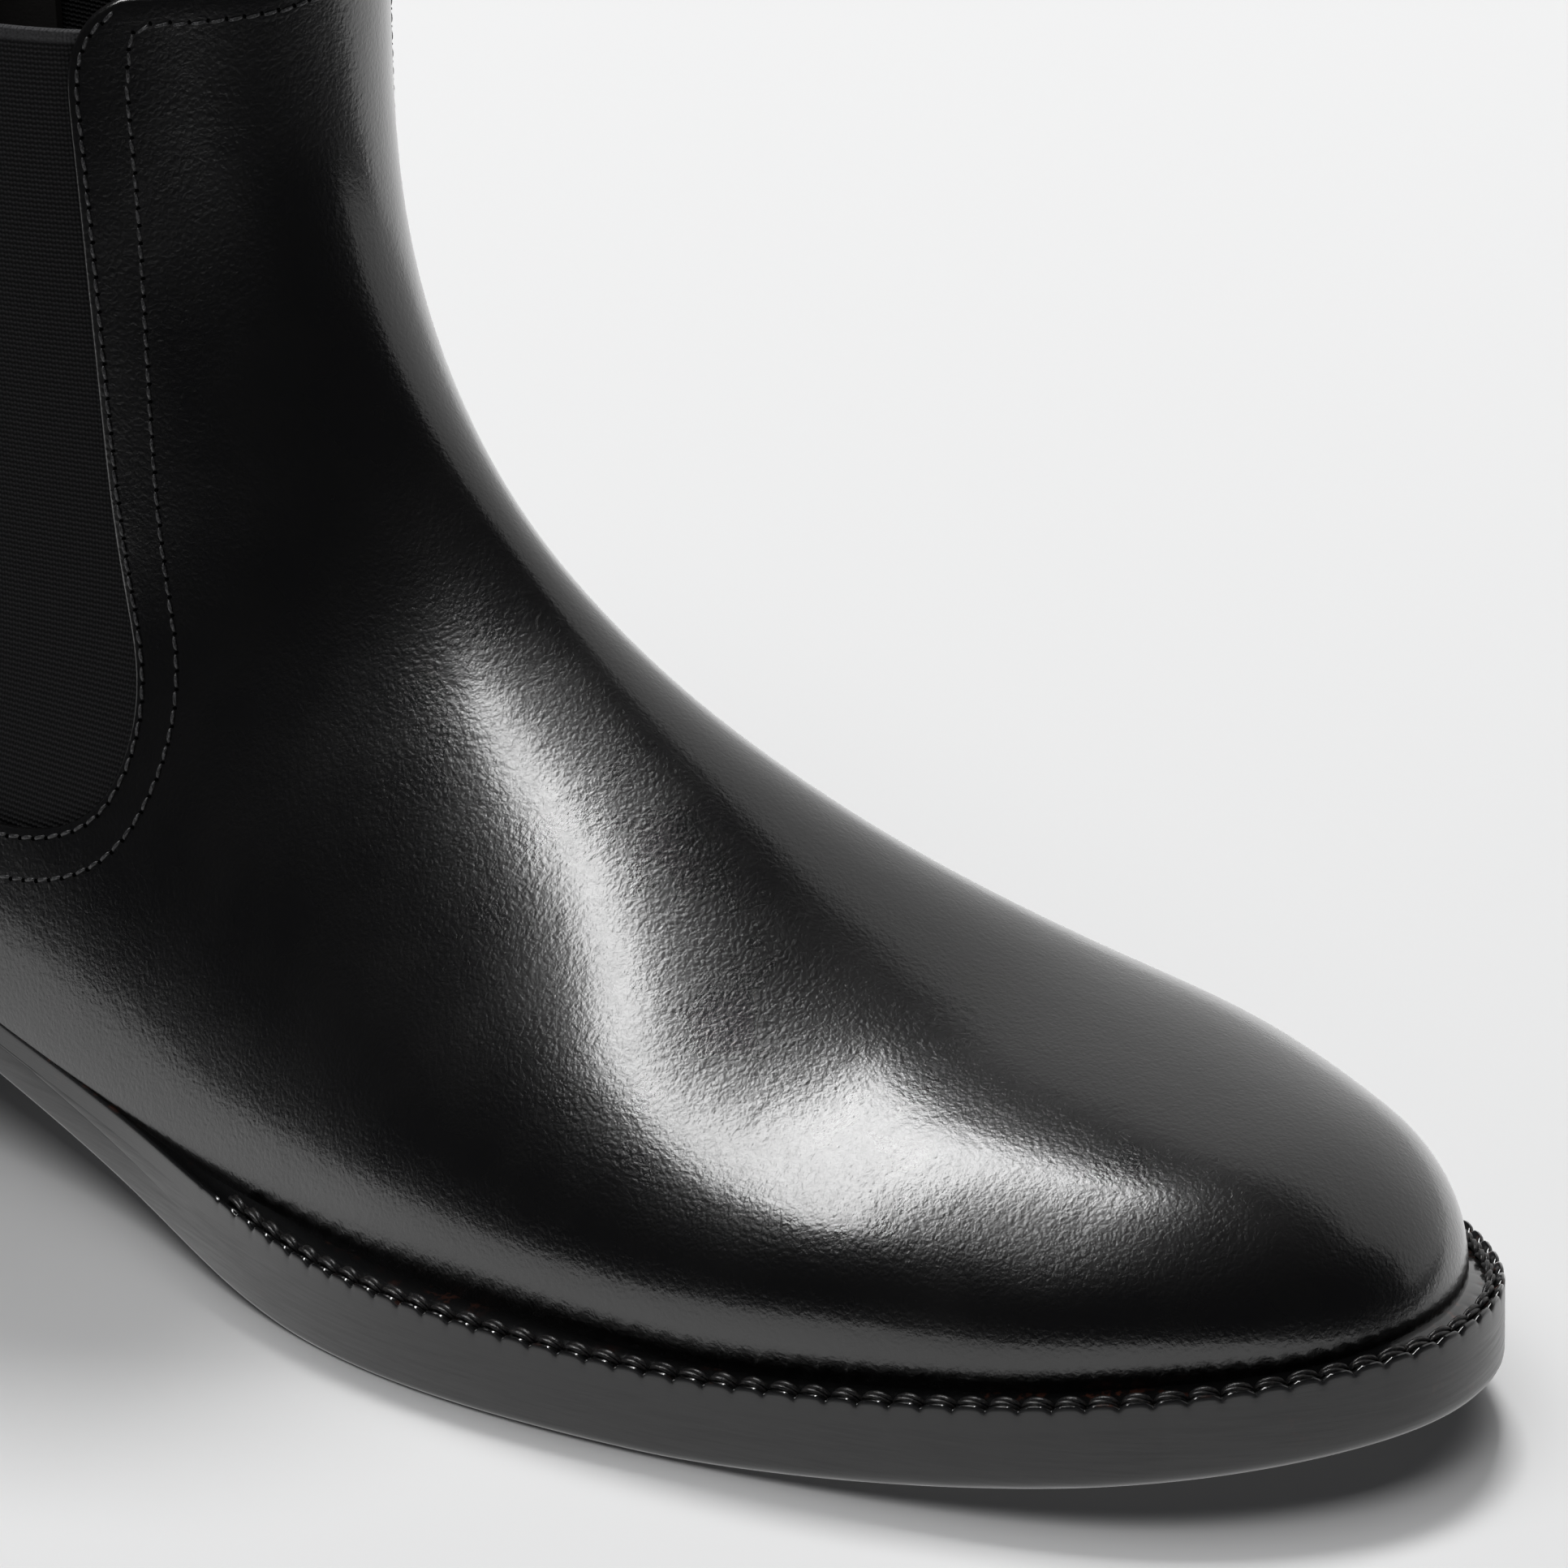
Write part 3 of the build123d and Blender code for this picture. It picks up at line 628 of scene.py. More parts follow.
# %% sole outline
sole_points = np.array([
    (-38, 0), (-32, -20), (-15, -31.5), (12, -35.5), (42, -36), (72, -38), (98, -42), (122, -48.5),
    (146, -52.5), (172, -51), (199, -45), (223, -37), (243.5, -26.5), (258.5, -11.5), (265, 5.5),
    (261, 21.5), (247, 35), (227.5, 45), (203, 50), (180, 50.5), (157, 46), (130, 37.5), (100, 29.5),
    (70, 27), (40, 30), (12, 33), (-15, 31), (-32, 20),
], float)
wrapped = np.vstack([sole_points[-6:], sole_points, sole_points[:7]])
wrap_knots = np.concatenate([[0], np.cumsum(np.linalg.norm(np.diff(wrapped, axis=0), axis=1))])
wrap_bends = bends(wrap_knots, wrapped)
fine = spline_at(wrap_knots, wrapped, wrap_bends, np.linspace(wrap_knots[6], wrap_knots[-7], 6001))[:-1]
fine_length = np.concatenate([[0], np.cumsum(np.linalg.norm(np.diff(np.vstack([fine, fine[:1]]), axis=0), axis=1))])
sole_round = float(fine_length[-1])


def outline_at(distance):
    """Place and outward direction on the sole's outline at a distance along it."""
    loop = np.vstack([fine, fine[:1]])
    d = np.mod(distance, sole_round)
    p = np.stack([np.interp(d, fine_length, loop[:, k]) for k in range(2)], -1)
    e = 0.4
    q = np.stack([np.interp(np.mod(d + e, sole_round), fine_length, loop[:, k]) for k in range(2)], -1)
    r = np.stack([np.interp(np.mod(d - e, sole_round), fine_length, loop[:, k]) for k in range(2)], -1)
    ahead = q - r
    ahead /= np.linalg.norm(ahead, axis=-1, keepdims=True)
    return p, np.stack([ahead[..., 1], -ahead[..., 0]], -1)


stitch_count = int(round(sole_round / 3.95))
pitch = sole_round / stitch_count
print("outline", round(sole_round, 1), "mm, pitch", round(pitch, 2), "mm")


def sewn(x, y):
    """How strongly the welt is wheeled: full round the forepart, fading out into the waist."""
    start = np.where(y > 0, 136.0, 112.0)
    return np.clip((x - start) / 14.0, 0, 1)


# %% welt mesh
PER_STITCH = 12
welt_steps = stitch_count * PER_STITCH
welt_d = np.arange(welt_steps) * pitch / PER_STITCH
spots, outs = outline_at(welt_d)
phase = (np.arange(welt_steps) % PER_STITCH) / PER_STITCH
notch = np.exp(-((np.minimum(phase, 1 - phase)) / 0.13) ** 2)
crown = np.sin(np.pi * phase) ** 0.6
wheel = sewn(spots[:, 0], spots[:, 1])

# profile: distance in from the edge, height from the feather line, notch share, crown share
welt_profile = [
    (17.0, 0.0, 0, 0), (6.0, 0.0, 0, 0), (4.4, 0.0, 0, 0), (3.4, -0.3, 0, 0), (2.6, -0.55, 0.2, 0),
    (1.8, -0.6, 0.4, 0.1), (1.15, -0.5, 0.7, 0.4), (0.72, -0.22, 1, 0.9), (0.42, -0.10, 1, 1),
    (0.2, -0.16, 1, 1), (0.06, -0.32, 0.9, 0.9), (0.0, -0.6, 0.5, 0.4), (0.0, -1.0, 0.1, 0),
    (0.0, -2.0, 0, 0), (0.0, -2.7, 0, 0), (0.0, -3.0, 0, 0), (17.0, -3.0, 0, 0),
]


def welt_ring():
    """All points of the welt, ring by ring."""
    z0 = feather(spots[:, 0])
    rings = []
    for inset, height, notched, crowned in welt_profile:
        dip = notched * notch * wheel
        bulge = crowned * crown * wheel
        edge = inset + 0.16 * dip - 0.05 * bulge if inset < 4 else inset
        xy = spots - outs * np.reshape(edge * np.ones(len(spots)), (-1, 1))
        z = z0 + height - 0.30 * dip + 0.34 * bulge
        rings.append(np.column_stack([xy, z]))
    return np.array(rings).transpose(1, 0, 2)


def ring_faces(count, profile_count):
    """Quads of a closed sweep with a closed profile."""
    faces = []
    for i in range(count):
        k = (i + 1) % count
        for j in range(profile_count):
            l = (j + 1) % profile_count
            faces.append((i * profile_count + j, i * profile_count + l, k * profile_count + l, k * profile_count + j))
    return faces


rings = welt_ring()
side_share = np.tile([float(inset < 0.15) for inset, _, _, _ in welt_profile], welt_steps)
welt = face_out(make_object("welt_strip", rings.reshape(-1, 3), ring_faces(rings.shape[0], rings.shape[1])))
layer = welt.data.attributes.new("edge_share", "FLOAT", "POINT")
layer.data.foreach_set("value", side_share.astype(np.float32))
print("welt faces", len(welt.data.polygons))

# %% [markdown]
# ## Midsole and outsole
#
# Below the welt lie the midsole and the outsole.  Their edges are trimmed, sanded, inked and
# waxed together, so from the side they read as one satin band with faint lines between the layers.
# The outsole's lower corner is rounded off, more at the toe, and its underside is one smooth skin.

# %% sole meshes
EDGE_STEPS = 900
edge_d = np.arange(EDGE_STEPS) * sole_round / EDGE_STEPS
edge_spots, edge_outs = outline_at(edge_d)
edge_x = edge_spots[:, 0]
sole_low, sole_top = ground_gap(edge_x), feather(edge_x) - 3.0
OUTSOLE_THICKNESS, MIDSOLE_BACK, MIDSOLE_LEAST = 4.5, 78.0, 0.35
split_z = np.where(edge_x > MIDSOLE_BACK, sole_low + OUTSOLE_THICKNESS, sole_top)
split_z = np.minimum(split_z, sole_top - MIDSOLE_LEAST)


def edge_ring(profile):
    """A ring of points round the sole: each profile entry gives the inset and the height arrays."""
    out = []
    for inset, z in profile:
        xy = edge_spots - edge_outs * np.reshape(inset * np.ones(EDGE_STEPS), (-1, 1))
        out.append(np.column_stack([xy, z * np.ones(EDGE_STEPS)]))
    return np.array(out).transpose(1, 0, 2)


line = 0.05 * np.clip((112 - edge_x) / 20, 0, 1)     # the layers show only where the waist is thin
mid_rings = edge_ring([(14, sole_top), (0.4, sole_top), (line, sole_top),
                       (0.0, sole_top - 0.25), (0.0, split_z + 0.22), (line, split_z), (0.4, split_z),
                       (14, split_z)])
midsole = face_out(make_object("midsole_edge", mid_rings.reshape(-1, 3), ring_faces(EDGE_STEPS, 8)))
soft = 0.8 + 1.6 * np.clip((edge_x - 150) / 80, 0, 1)
out_profile = [(0.4, split_z), (line, split_z), (0.0, split_z - 0.25), (0.0, sole_low + soft)]
for t in (0.3, 0.6, 0.9, 1.2, math.pi / 2):
    out_profile.append(((1 - math.cos(t)) * soft, sole_low + soft * (1 - math.sin(t))))
spine_x = np.clip(edge_x, -18, 236)
spine = np.column_stack([spine_x, np.interp(spine_x, [-18, 40, 100, 170, 236], [0, -3, -6, 0, 9])])
edge_points = edge_ring(out_profile)


def sole_surface(edge, raise_by):
    """Rings from the edge in to the spine, on the sole's underside."""
    rings = []
    for f in (0.08, 0.2, 0.35, 0.5, 0.65, 0.8, 0.92, 1.0):
        xy = edge[:, :2] * (1 - f) + spine * f
        rings.append(np.column_stack([xy, ground_gap(xy[:, 0]) + raise_by]))
    return rings


bottom = sole_surface(edge_points[:, -1], 0.0)
roof = sole_surface(edge_points[:, 0], 3.6)[::-1]
all_rings = [*roof, *edge_points.transpose(1, 0, 2), *bottom]
out_grid = np.array(all_rings).transpose(1, 0, 2)
out_faces = []
m = out_grid.shape[1]
for i in range(EDGE_STEPS):
    k = (i + 1) % EDGE_STEPS
    for j in range(m - 1):
        out_faces.append((i * m + j, i * m + j + 1, k * m + j + 1, k * m + j))
outsole = make_object("outsole_leather", out_grid.reshape(-1, 3), out_faces)
bm = bmesh.new()
bm.from_mesh(outsole.data)
bmesh.ops.remove_doubles(bm, verts=bm.verts, dist=0.02 * MM)
bmesh.ops.dissolve_degenerate(bm, dist=0.01 * MM, edges=bm.edges)
bmesh.ops.recalc_face_normals(bm, faces=bm.faces)
bm.to_mesh(outsole.data)
bm.free()
for piece in (welt, midsole, outsole):
    crisp(piece)
print("outsole faces", len(outsole.data.polygons))

# %% [markdown]
# ## Thread
#
# Stitches repeat hundreds of times, so one short stitch is made once and set at every place by a
# small node group.  Each place carries its direction and the surface normal, which turn the stitch.

# %% stitches by nodes


def node_link(tree, a, out_name, b, in_name):
    tree.links.new(a.outputs[out_name], b.inputs[in_name])


def stitch_nodes():
    """A node group that sets a stitch on every point, turned by its aim and its normal."""
    tree = bpy.data.node_groups.new("set_stitches", "GeometryNodeTree")
    face = tree.interface
    face.new_socket("Geometry", in_out="INPUT", socket_type="NodeSocketGeometry")
    face.new_socket("Stitch", in_out="INPUT", socket_type="NodeSocketObject")
    face.new_socket("Finish", in_out="INPUT", socket_type="NodeSocketMaterial")
    face.new_socket("Geometry", in_out="OUTPUT", socket_type="NodeSocketGeometry")
    start, end = tree.nodes.new("NodeGroupInput"), tree.nodes.new("NodeGroupOutput")
    info = tree.nodes.new("GeometryNodeObjectInfo")
    info.inputs["As Instance"].default_value = False
    node_link(tree, start, "Stitch", info, "Object")
    aim, normal, size = [tree.nodes.new("GeometryNodeInputNamedAttribute") for _ in range(3)]
    for n, name in ((aim, "aim"), (normal, "lift"), (size, "size")):
        n.data_type = "FLOAT_VECTOR"
        n.inputs["Name"].default_value = name
    turn = tree.nodes.new("FunctionNodeAlignRotationToVector")
    turn.axis = "X"
    node_link(tree, aim, "Attribute", turn, "Vector")
    roll = tree.nodes.new("FunctionNodeAlignRotationToVector")
    roll.axis, roll.pivot_axis = "Z", "X"
    node_link(tree, turn, "Rotation", roll, "Rotation")
    node_link(tree, normal, "Attribute", roll, "Vector")
    place = tree.nodes.new("GeometryNodeInstanceOnPoints")
    node_link(tree, start, "Geometry", place, "Points")
    node_link(tree, info, "Geometry", place, "Instance")
    node_link(tree, roll, "Rotation", place, "Rotation")
    node_link(tree, size, "Attribute", place, "Scale")
    real = tree.nodes.new("GeometryNodeRealizeInstances")
    node_link(tree, place, "Instances", real, "Geometry")
    paint = tree.nodes.new("GeometryNodeSetMaterial")
    node_link(tree, real, "Geometry", paint, "Geometry")
    node_link(tree, start, "Finish", paint, "Material")
    node_link(tree, paint, "Geometry", end, "Geometry")
    return tree


stitch_tree = stitch_nodes()


def thread_shape(name, length, radius, plies, turns, around=4, steps=9):
    """One stitch: twisted plies that dive into the leather at both ends."""
    points, faces, coords = [], [], []
    for ply in range(plies):
        base = len(points)
        for i in range(steps):
            t = i / (steps - 1)
            x = (t - 0.5) * length
            lift = math.sin(math.pi * t) ** 0.45
            twist = 2 * math.pi * (ply / plies + turns * t)
            spread = radius * (0.52 if plies > 1 else 0.0)
            cy, cz = spread * math.cos(twist), spread * math.sin(twist) + radius * (1.35 * lift - 1.25)
            r = radius * (0.62 if plies > 1 else 1.0) * (0.45 + 0.55 * lift)
            for k in range(around):
                b = 2 * math.pi * k / around
                points.append((x, cy + r * math.cos(b), cz + r * math.sin(b)))
                coords.append(t * length)
        for i in range(steps - 1):
            for k in range(around):
                a, c = base + i * around + k, base + i * around + (k + 1) % around
                faces.append((a, c, c + around, a + around))
        faces.append(tuple(base + k for k in range(around))[::-1])
        faces.append(tuple(base + (steps - 1) * around + k for k in range(around)))
    obj = make_object(name, points, faces)
    obj.hide_render = True
    bpy.context.scene.collection.objects.unlink(obj)
    return face_out(obj)


def set_stitches(name, places, aims, lifts, sizes, shape, finish):
    """Applied geometry: the stitch shape on every place."""
    mesh = bpy.data.meshes.new(name)
    mesh.from_pydata([tuple(p) for p in np.asarray(places) * MM], [], [])
    for label, data in (("aim", aims), ("lift", lifts), ("size", sizes)):
        layer = mesh.attributes.new(label, "FLOAT_VECTOR", "POINT")
        layer.data.foreach_set("vector", np.asarray(data, np.float32).ravel())
    holder = bpy.data.objects.new(name, mesh)
    bpy.context.scene.collection.objects.link(holder)
    modifier = holder.modifiers.new("stitches", "NODES")
    modifier.node_group = stitch_tree
    keys = {s.name: s.identifier for s in stitch_tree.interface.items_tree if s.in_out == "INPUT"}
    modifier[keys["Stitch"]] = shape
    modifier[keys["Finish"]] = finish
    graph = bpy.context.evaluated_depsgraph_get()
    made = bpy.data.meshes.new_from_object(holder.evaluated_get(graph), depsgraph=graph)
    holder.modifiers.clear()
    holder.data = made
    made.polygons.foreach_set("use_smooth", [True] * len(made.polygons))
    print(name, "stitches", len(places), "faces", len(made.polygons))
    return holder


# %% [markdown]
# ## Finishes
#
# Every finish is a small node tree.  Object coordinates are in metres, so a scale of 1000 gives
# features of about a millimetre.

# %% node helpers


def material(name, colour, rough, metallic=0.0, coat=0.0, coat_rough=0.05, specular=0.5, sheen=0.0):
    """A principled material and the handles that finishes need."""
    m = bpy.data.materials.new(name)
    m.use_nodes = True
    tree = m.node_tree
    shader = tree.nodes["Principled BSDF"]
    shader.inputs["Base Color"].default_value = (*colour, 1)
    shader.inputs["Roughness"].default_value = rough
    shader.inputs["Metallic"].default_value = metallic
    shader.inputs["Coat Weight"].default_value = coat
    shader.inputs["Coat Roughness"].default_value = coat_rough
    shader.inputs["Specular IOR Level"].default_value = specular
    shader.inputs["Sheen Weight"].default_value = sheen
    return m, tree, shader


def coordinates(tree, scale=(1, 1, 1), turn=(0, 0, 0)):
    """Object coordinates, scaled and turned."""
    source = tree.nodes.new("ShaderNodeTexCoord")
    mapping = tree.nodes.new("ShaderNodeMapping")
    mapping.inputs["Scale"].default_value = scale
    mapping.inputs["Rotation"].default_value = turn
    tree.links.new(source.outputs["Object"], mapping.inputs["Vector"])
    return mapping.outputs["Vector"]


def noise(tree, vector, scale, detail=4.0, rough=0.55, warp=0.0):
    node = tree.nodes.new("ShaderNodeTexNoise")
    node.inputs["Scale"].default_value = scale
    node.inputs["Detail"].default_value = detail
    node.inputs["Roughness"].default_value = rough
    node.inputs["Distortion"].default_value = warp
    tree.links.new(vector, node.inputs["Vector"])
    return node.outputs["Fac"]


def cells(tree, vector, scale, feature="DISTANCE_TO_EDGE"):
    node = tree.nodes.new("ShaderNodeTexVoronoi")
    node.feature = feature
    node.inputs["Scale"].default_value = scale
    tree.links.new(vector, node.inputs["Vector"])
    return node.outputs["Distance"]


def ranged(tree, value, low, high, out_low, out_high):
    node = tree.nodes.new("ShaderNodeMapRange")
    node.inputs["From Min"].default_value = low
    node.inputs["From Max"].default_value = high
    node.inputs["To Min"].default_value = out_low
    node.inputs["To Max"].default_value = out_high
    tree.links.new(value, node.inputs["Value"])
    return node.outputs["Result"]


def maths(tree, operation, a, b=None):
    node = tree.nodes.new("ShaderNodeMath")
    node.operation = operation
    for socket, value in zip(node.inputs, (a, b)):
        if value is None:
            continue
        if isinstance(value, (int, float)):
            socket.default_value = value
        else:
            tree.links.new(value, socket)
    return node.outputs[0]


def blend_colours(tree, share, one, two):
    node = tree.nodes.new("ShaderNodeMix")
    node.data_type = "RGBA"
    node.inputs["A"].default_value = (*one, 1)
    node.inputs["B"].default_value = (*two, 1)
    tree.links.new(share, node.inputs["Factor"])
    return node.outputs["Result"]


def bump(tree, height, distance, strength=1.0, under=None):
    node = tree.nodes.new("ShaderNodeBump")
    node.inputs["Distance"].default_value = distance
    node.inputs["Strength"].default_value = strength
    tree.links.new(height, node.inputs["Height"])
    if under is not None:
        tree.links.new(under, node.inputs["Normal"])
    return node.outputs["Normal"]


def apart(tree, vector):
    node = tree.nodes.new("ShaderNodeSeparateXYZ")
    tree.links.new(vector, node.inputs["Vector"])
    return node.outputs


# %% [markdown]
# ### Polished black leather
#
# Wax and spit build a thin gloss over fine calf grain.  The gloss is a clear coat; the grain under
# it is a mix of tiny cells and soft noise; broad noise moves the roughness, so that highlights
# break up as they do on a hand-polished boot.

# %% upper leather


def polished_leather():
    m, tree, shader = material("polished_leather", (0.0045, 0.0045, 0.0048), 0.3, coat=0.8, coat_rough=0.1)
    place = coordinates(tree)
    broad = noise(tree, place, 60, 3)
    grain = noise(tree, place, 1500, 3, 0.6)
    pebbles = cells(tree, place, 1150)
    tree.links.new(ranged(tree, broad, 0.3, 0.7, 0.25, 0.33), shader.inputs["Roughness"])
    tree.links.new(ranged(tree, noise(tree, place, 900, 4), 0.35, 0.7, 0.10, 0.17), shader.inputs["Coat Roughness"])
    swells = bump(tree, noise(tree, place, 45, 2), 0.0004, 0.25)
    lumps = bump(tree, noise(tree, place, 260, 3), 0.00012, 0.35, swells)
    first = bump(tree, pebbles, 0.00007, 0.6, lumps)
    second = bump(tree, grain, 0.00009, 0.7, first)
    tree.links.new(second, shader.inputs["Normal"])
    tree.links.new(bump(tree, grain, 0.00005, 0.7, lumps), shader.inputs["Coat Normal"])
    tint = blend_colours(tree, broad, (0.0012, 0.0012, 0.0014), (0.0035, 0.0028, 0.0024))
    tree.links.new(tint, shader.inputs["Base Color"])
    return m


leather_finish = polished_leather()


def elastic_weave():
    """Rib-knit elastic: rows of small stitches, with a pale worn selvage at the top; its colour follows the knit's
    height, a painted shade that darkens the grooves and lightens the raised loops.
    """
    m, tree, shader = material("elastic_weave", (0.008, 0.008, 0.009), 0.8, specular=0.12)
    place = coordinates(tree)
    x, _, z = apart(tree, place)
    ribs = maths(tree, "ABSOLUTE", maths(tree, "SINE", maths(tree, "MULTIPLY", x, math.pi / 0.00043)))
    rows_wave = maths(tree, "MULTIPLY", z, 2 * math.pi / 0.00064)
    shift = maths(tree, "MULTIPLY", maths(tree, "SINE", maths(tree, "MULTIPLY", x, math.pi / 0.00043)), 0.5)
    knit = maths(tree, "SINE", maths(tree, "ADD", rows_wave, shift))
    height = maths(tree, "ADD", maths(tree, "MULTIPLY", ribs, 0.6), maths(tree, "MULTIPLY", knit, 0.6))
    fuzz = noise(tree, place, 3500, 3)
    height = maths(tree, "ADD", height, maths(tree, "MULTIPLY", fuzz, 0.5))
    tree.links.new(bump(tree, height, 0.00022, 0.9), shader.inputs["Normal"])
    band = ranged(tree, z, (elastic_top - 1.6) * MM, (elastic_top - 1.2) * MM, 0, 0.55)
    worn = maths(tree, "MULTIPLY", band, ranged(tree, fuzz, 0.3, 0.7, 0.5, 1.0))
    # Painted shade: the raised knit is coloured lighter than its grooves; the top band is wear.
    tone_with_painted_shade = maths(tree, "MAXIMUM", worn, ranged(tree, height, 0.5, 1.6, 0.0, 0.24))
    tree.links.new(blend_colours(tree, tone_with_painted_shade, (0.008, 0.008, 0.0085), (0.13, 0.13, 0.135)), shader.inputs["Base Color"])
    return m


elastic_finish = elastic_weave()


def thread_finish(name, dark, light, rough):
    """Waxed thread: fine streaks that follow the twist; the lighter streaks are painted highlights on the dark thread.
    """
    m, tree, shader = material(name, dark, rough, specular=0.5)
    place = coordinates(tree)
    painted_glint_streaks = noise(tree, place, 3200, 2, 0.7, 0.4)
    # Painted highlight: the streaks blend the thread's dark colour into a lighter one.
    tree.links.new(blend_colours(tree, ranged(tree, painted_glint_streaks, 0.45, 0.75, 0, 1), dark, light), shader.inputs["Base Color"])
    tree.links.new(bump(tree, painted_glint_streaks, 0.00006, 0.8), shader.inputs["Normal"])
    return m


# The second colour of each thread is a painted highlight.
welt_thread = thread_finish("welt_thread", (0.010, 0.010, 0.011), (0.06, 0.055, 0.05), 0.34)
upper_thread = thread_finish("upper_thread", (0.022, 0.022, 0.023), (0.15, 0.15, 0.155), 0.45)


def edge_finish(name, colour, rough, wear):
    """Inked and waxed sole edge: satin, faint lines along it, brown where the ink is rubbed off."""
    m, tree, shader = material(name, colour, rough, coat=0.35, coat_rough=0.22, specular=0.5)
    place = coordinates(tree)
    x, _, z = apart(tree, place)
    fibres = noise(tree, coordinates(tree, (120, 120, 2600)), 1.0, 4, 0.6)
    rubbed = noise(tree, place, 210, 5, 0.65)
    patch = noise(tree, place, 32, 2)
    amount = maths(tree, "MULTIPLY", ranged(tree, rubbed, 0.60, 0.68, 0, 1), ranged(tree, patch, 0.5, 0.6, 0, wear))
    tree.links.new(blend_colours(tree, amount, colour, (0.10, 0.032, 0.018)), shader.inputs["Base Color"])
    tree.links.new(ranged(tree, fibres, 0.3, 0.7, rough - 0.06, rough + 0.1), shader.inputs["Roughness"])
    tree.links.new(bump(tree, fibres, 0.00006, 0.35, bump(tree, rubbed, 0.00005, 0.4)), shader.inputs["Normal"])
    return m


sole_edge_finish = edge_finish("sole_edge", (0.012, 0.012, 0.0125), 0.42, 0.12)


def welt_leather():
    """Edge finish on the side, blacker and glossier on top where the wheel has burnished it."""
    m = sole_edge_finish.copy()
    m.name = "welt_leather"
    tree = m.node_tree
    shader = tree.nodes["Principled BSDF"]
    share = tree.nodes.new("ShaderNodeAttribute")
    share.attribute_name = "edge_share"
    place = coordinates(tree)
    side_colour = shader.inputs["Base Color"].links[0].from_socket
    rubbed = maths(tree, "MULTIPLY", ranged(tree, noise(tree, place, 420, 4, 0.65), 0.56, 0.64, 0, 1),
                   ranged(tree, noise(tree, place, 36, 2), 0.5, 0.6, 0, 0.9))
    top_colour = blend_colours(tree, rubbed, (0.005, 0.005, 0.005), (0.09, 0.030, 0.018))
    mix = tree.nodes.new("ShaderNodeMix")
    mix.data_type = "RGBA"
    tree.links.new(share.outputs["Fac"], mix.inputs["Factor"])
    tree.links.new(top_colour, mix.inputs["A"])
    tree.links.new(side_colour, mix.inputs["B"])
    tree.links.new(mix.outputs["Result"], shader.inputs["Base Color"])
    tree.links.new(ranged(tree, share.outputs["Fac"], 0, 1, 0.16, 0.42), shader.inputs["Roughness"])
    tree.links.new(ranged(tree, share.outputs["Fac"], 0, 1, 1.0, 0.35), shader.inputs["Coat Weight"])
    tree.links.new(ranged(tree, share.outputs["Fac"], 0, 1, 0.08, 0.22), shader.inputs["Coat Roughness"])
    return m


welt_finish = welt_leather()


def plain_leather(name, colour, rough, grain_scale, depth, second):
    """Unpolished leather or board: two tones, pores and a soft nap."""
    m, tree, shader = material(name, colour, rough, specular=0.3)
    place = coordinates(tree)
    pores = cells(tree, place, grain_scale)
    cloud = noise(tree, place, grain_scale / 14, 5)
    tree.links.new(blend_colours(tree, ranged(tree, cloud, 0.3, 0.7, 0, 1), colour, second), shader.inputs["Base Color"])
    tree.links.new(bump(tree, pores, depth, 0.6, bump(tree, cloud, depth * 2, 0.4)), shader.inputs["Normal"])
    tree.links.new(ranged(tree, cloud, 0.3, 0.7, rough - 0.08, rough + 0.1), shader.inputs["Roughness"])
    return m


lining_finish = plain_leather("lining_leather", (0.020, 0.019, 0.018), 0.62, 1400, 0.00005, (0.035, 0.032, 0.030))
sock_finish = plain_leather("sock_leather", (0.030, 0.026, 0.023), 0.5, 1300, 0.00004, (0.055, 0.045, 0.038))
board_finish = plain_leather("board", (0.16, 0.10, 0.06), 0.8, 900, 0.00008, (0.25, 0.17, 0.11))
tread_finish = plain_leather("tread_leather", (0.016, 0.015, 0.0145), 0.42, 1000, 0.00005, (0.035, 0.030, 0.026))
cork_finish = plain_leather("cork", (0.20, 0.11, 0.05), 0.9, 500, 0.0002, (0.32, 0.19, 0.10))


def rubber_finish():
    m, tree, shader = material("heel_rubber", (0.014, 0.014, 0.014), 0.62, specular=0.35)
    place = coordinates(tree)
    tree.links.new(bump(tree, noise(tree, place, 1800, 4), 0.00005, 0.6), shader.inputs["Normal"])
    tree.links.new(ranged(tree, noise(tree, place, 120, 4), 0.3, 0.7, 0.52, 0.74), shader.inputs["Roughness"])
    return m


def metal_finish(name, colour, rough):
    m, tree, shader = material(name, colour, rough, metallic=1.0)
    place = coordinates(tree)
    scratches = noise(tree, place, 900, 4)
    tree.links.new(ranged(tree, scratches, 0.3, 0.7, rough - 0.08, rough + 0.14), shader.inputs["Roughness"])
    tree.links.new(bump(tree, scratches, 0.00002, 0.5), shader.inputs["Normal"])
    return m


def webbing_weave():
    """Twill webbing: fine diagonal ribs, coloured lighter on the raised ribs and darker in the grooves, a painted
    shade.
    """
    m, tree, shader = material("webbing_weave", (0.010, 0.010, 0.011), 0.7, specular=0.3, sheen=0.3)
    place = coordinates(tree)
    _, y, z = apart(tree, place)
    a = maths(tree, "SINE", maths(tree, "MULTIPLY", maths(tree, "ADD", y, z), 2 * math.pi / 0.0011))
    b = maths(tree, "SINE", maths(tree, "MULTIPLY", maths(tree, "SUBTRACT", y, z), 2 * math.pi / 0.0022))
    weave = maths(tree, "ADD", a, maths(tree, "MULTIPLY", b, 0.6))
    tree.links.new(bump(tree, weave, 0.00015, 0.8), shader.inputs["Normal"])
    # Painted shade: the colour follows the weave's height, darker in the grooves.
    tone_with_painted_shade = ranged(tree, weave, -1.2, 1.2, 0, 1)
    tree.links.new(blend_colours(tree, tone_with_painted_shade, (0.006, 0.006, 0.006), (0.03, 0.03, 0.032)), shader.inputs["Base Color"])
    return m


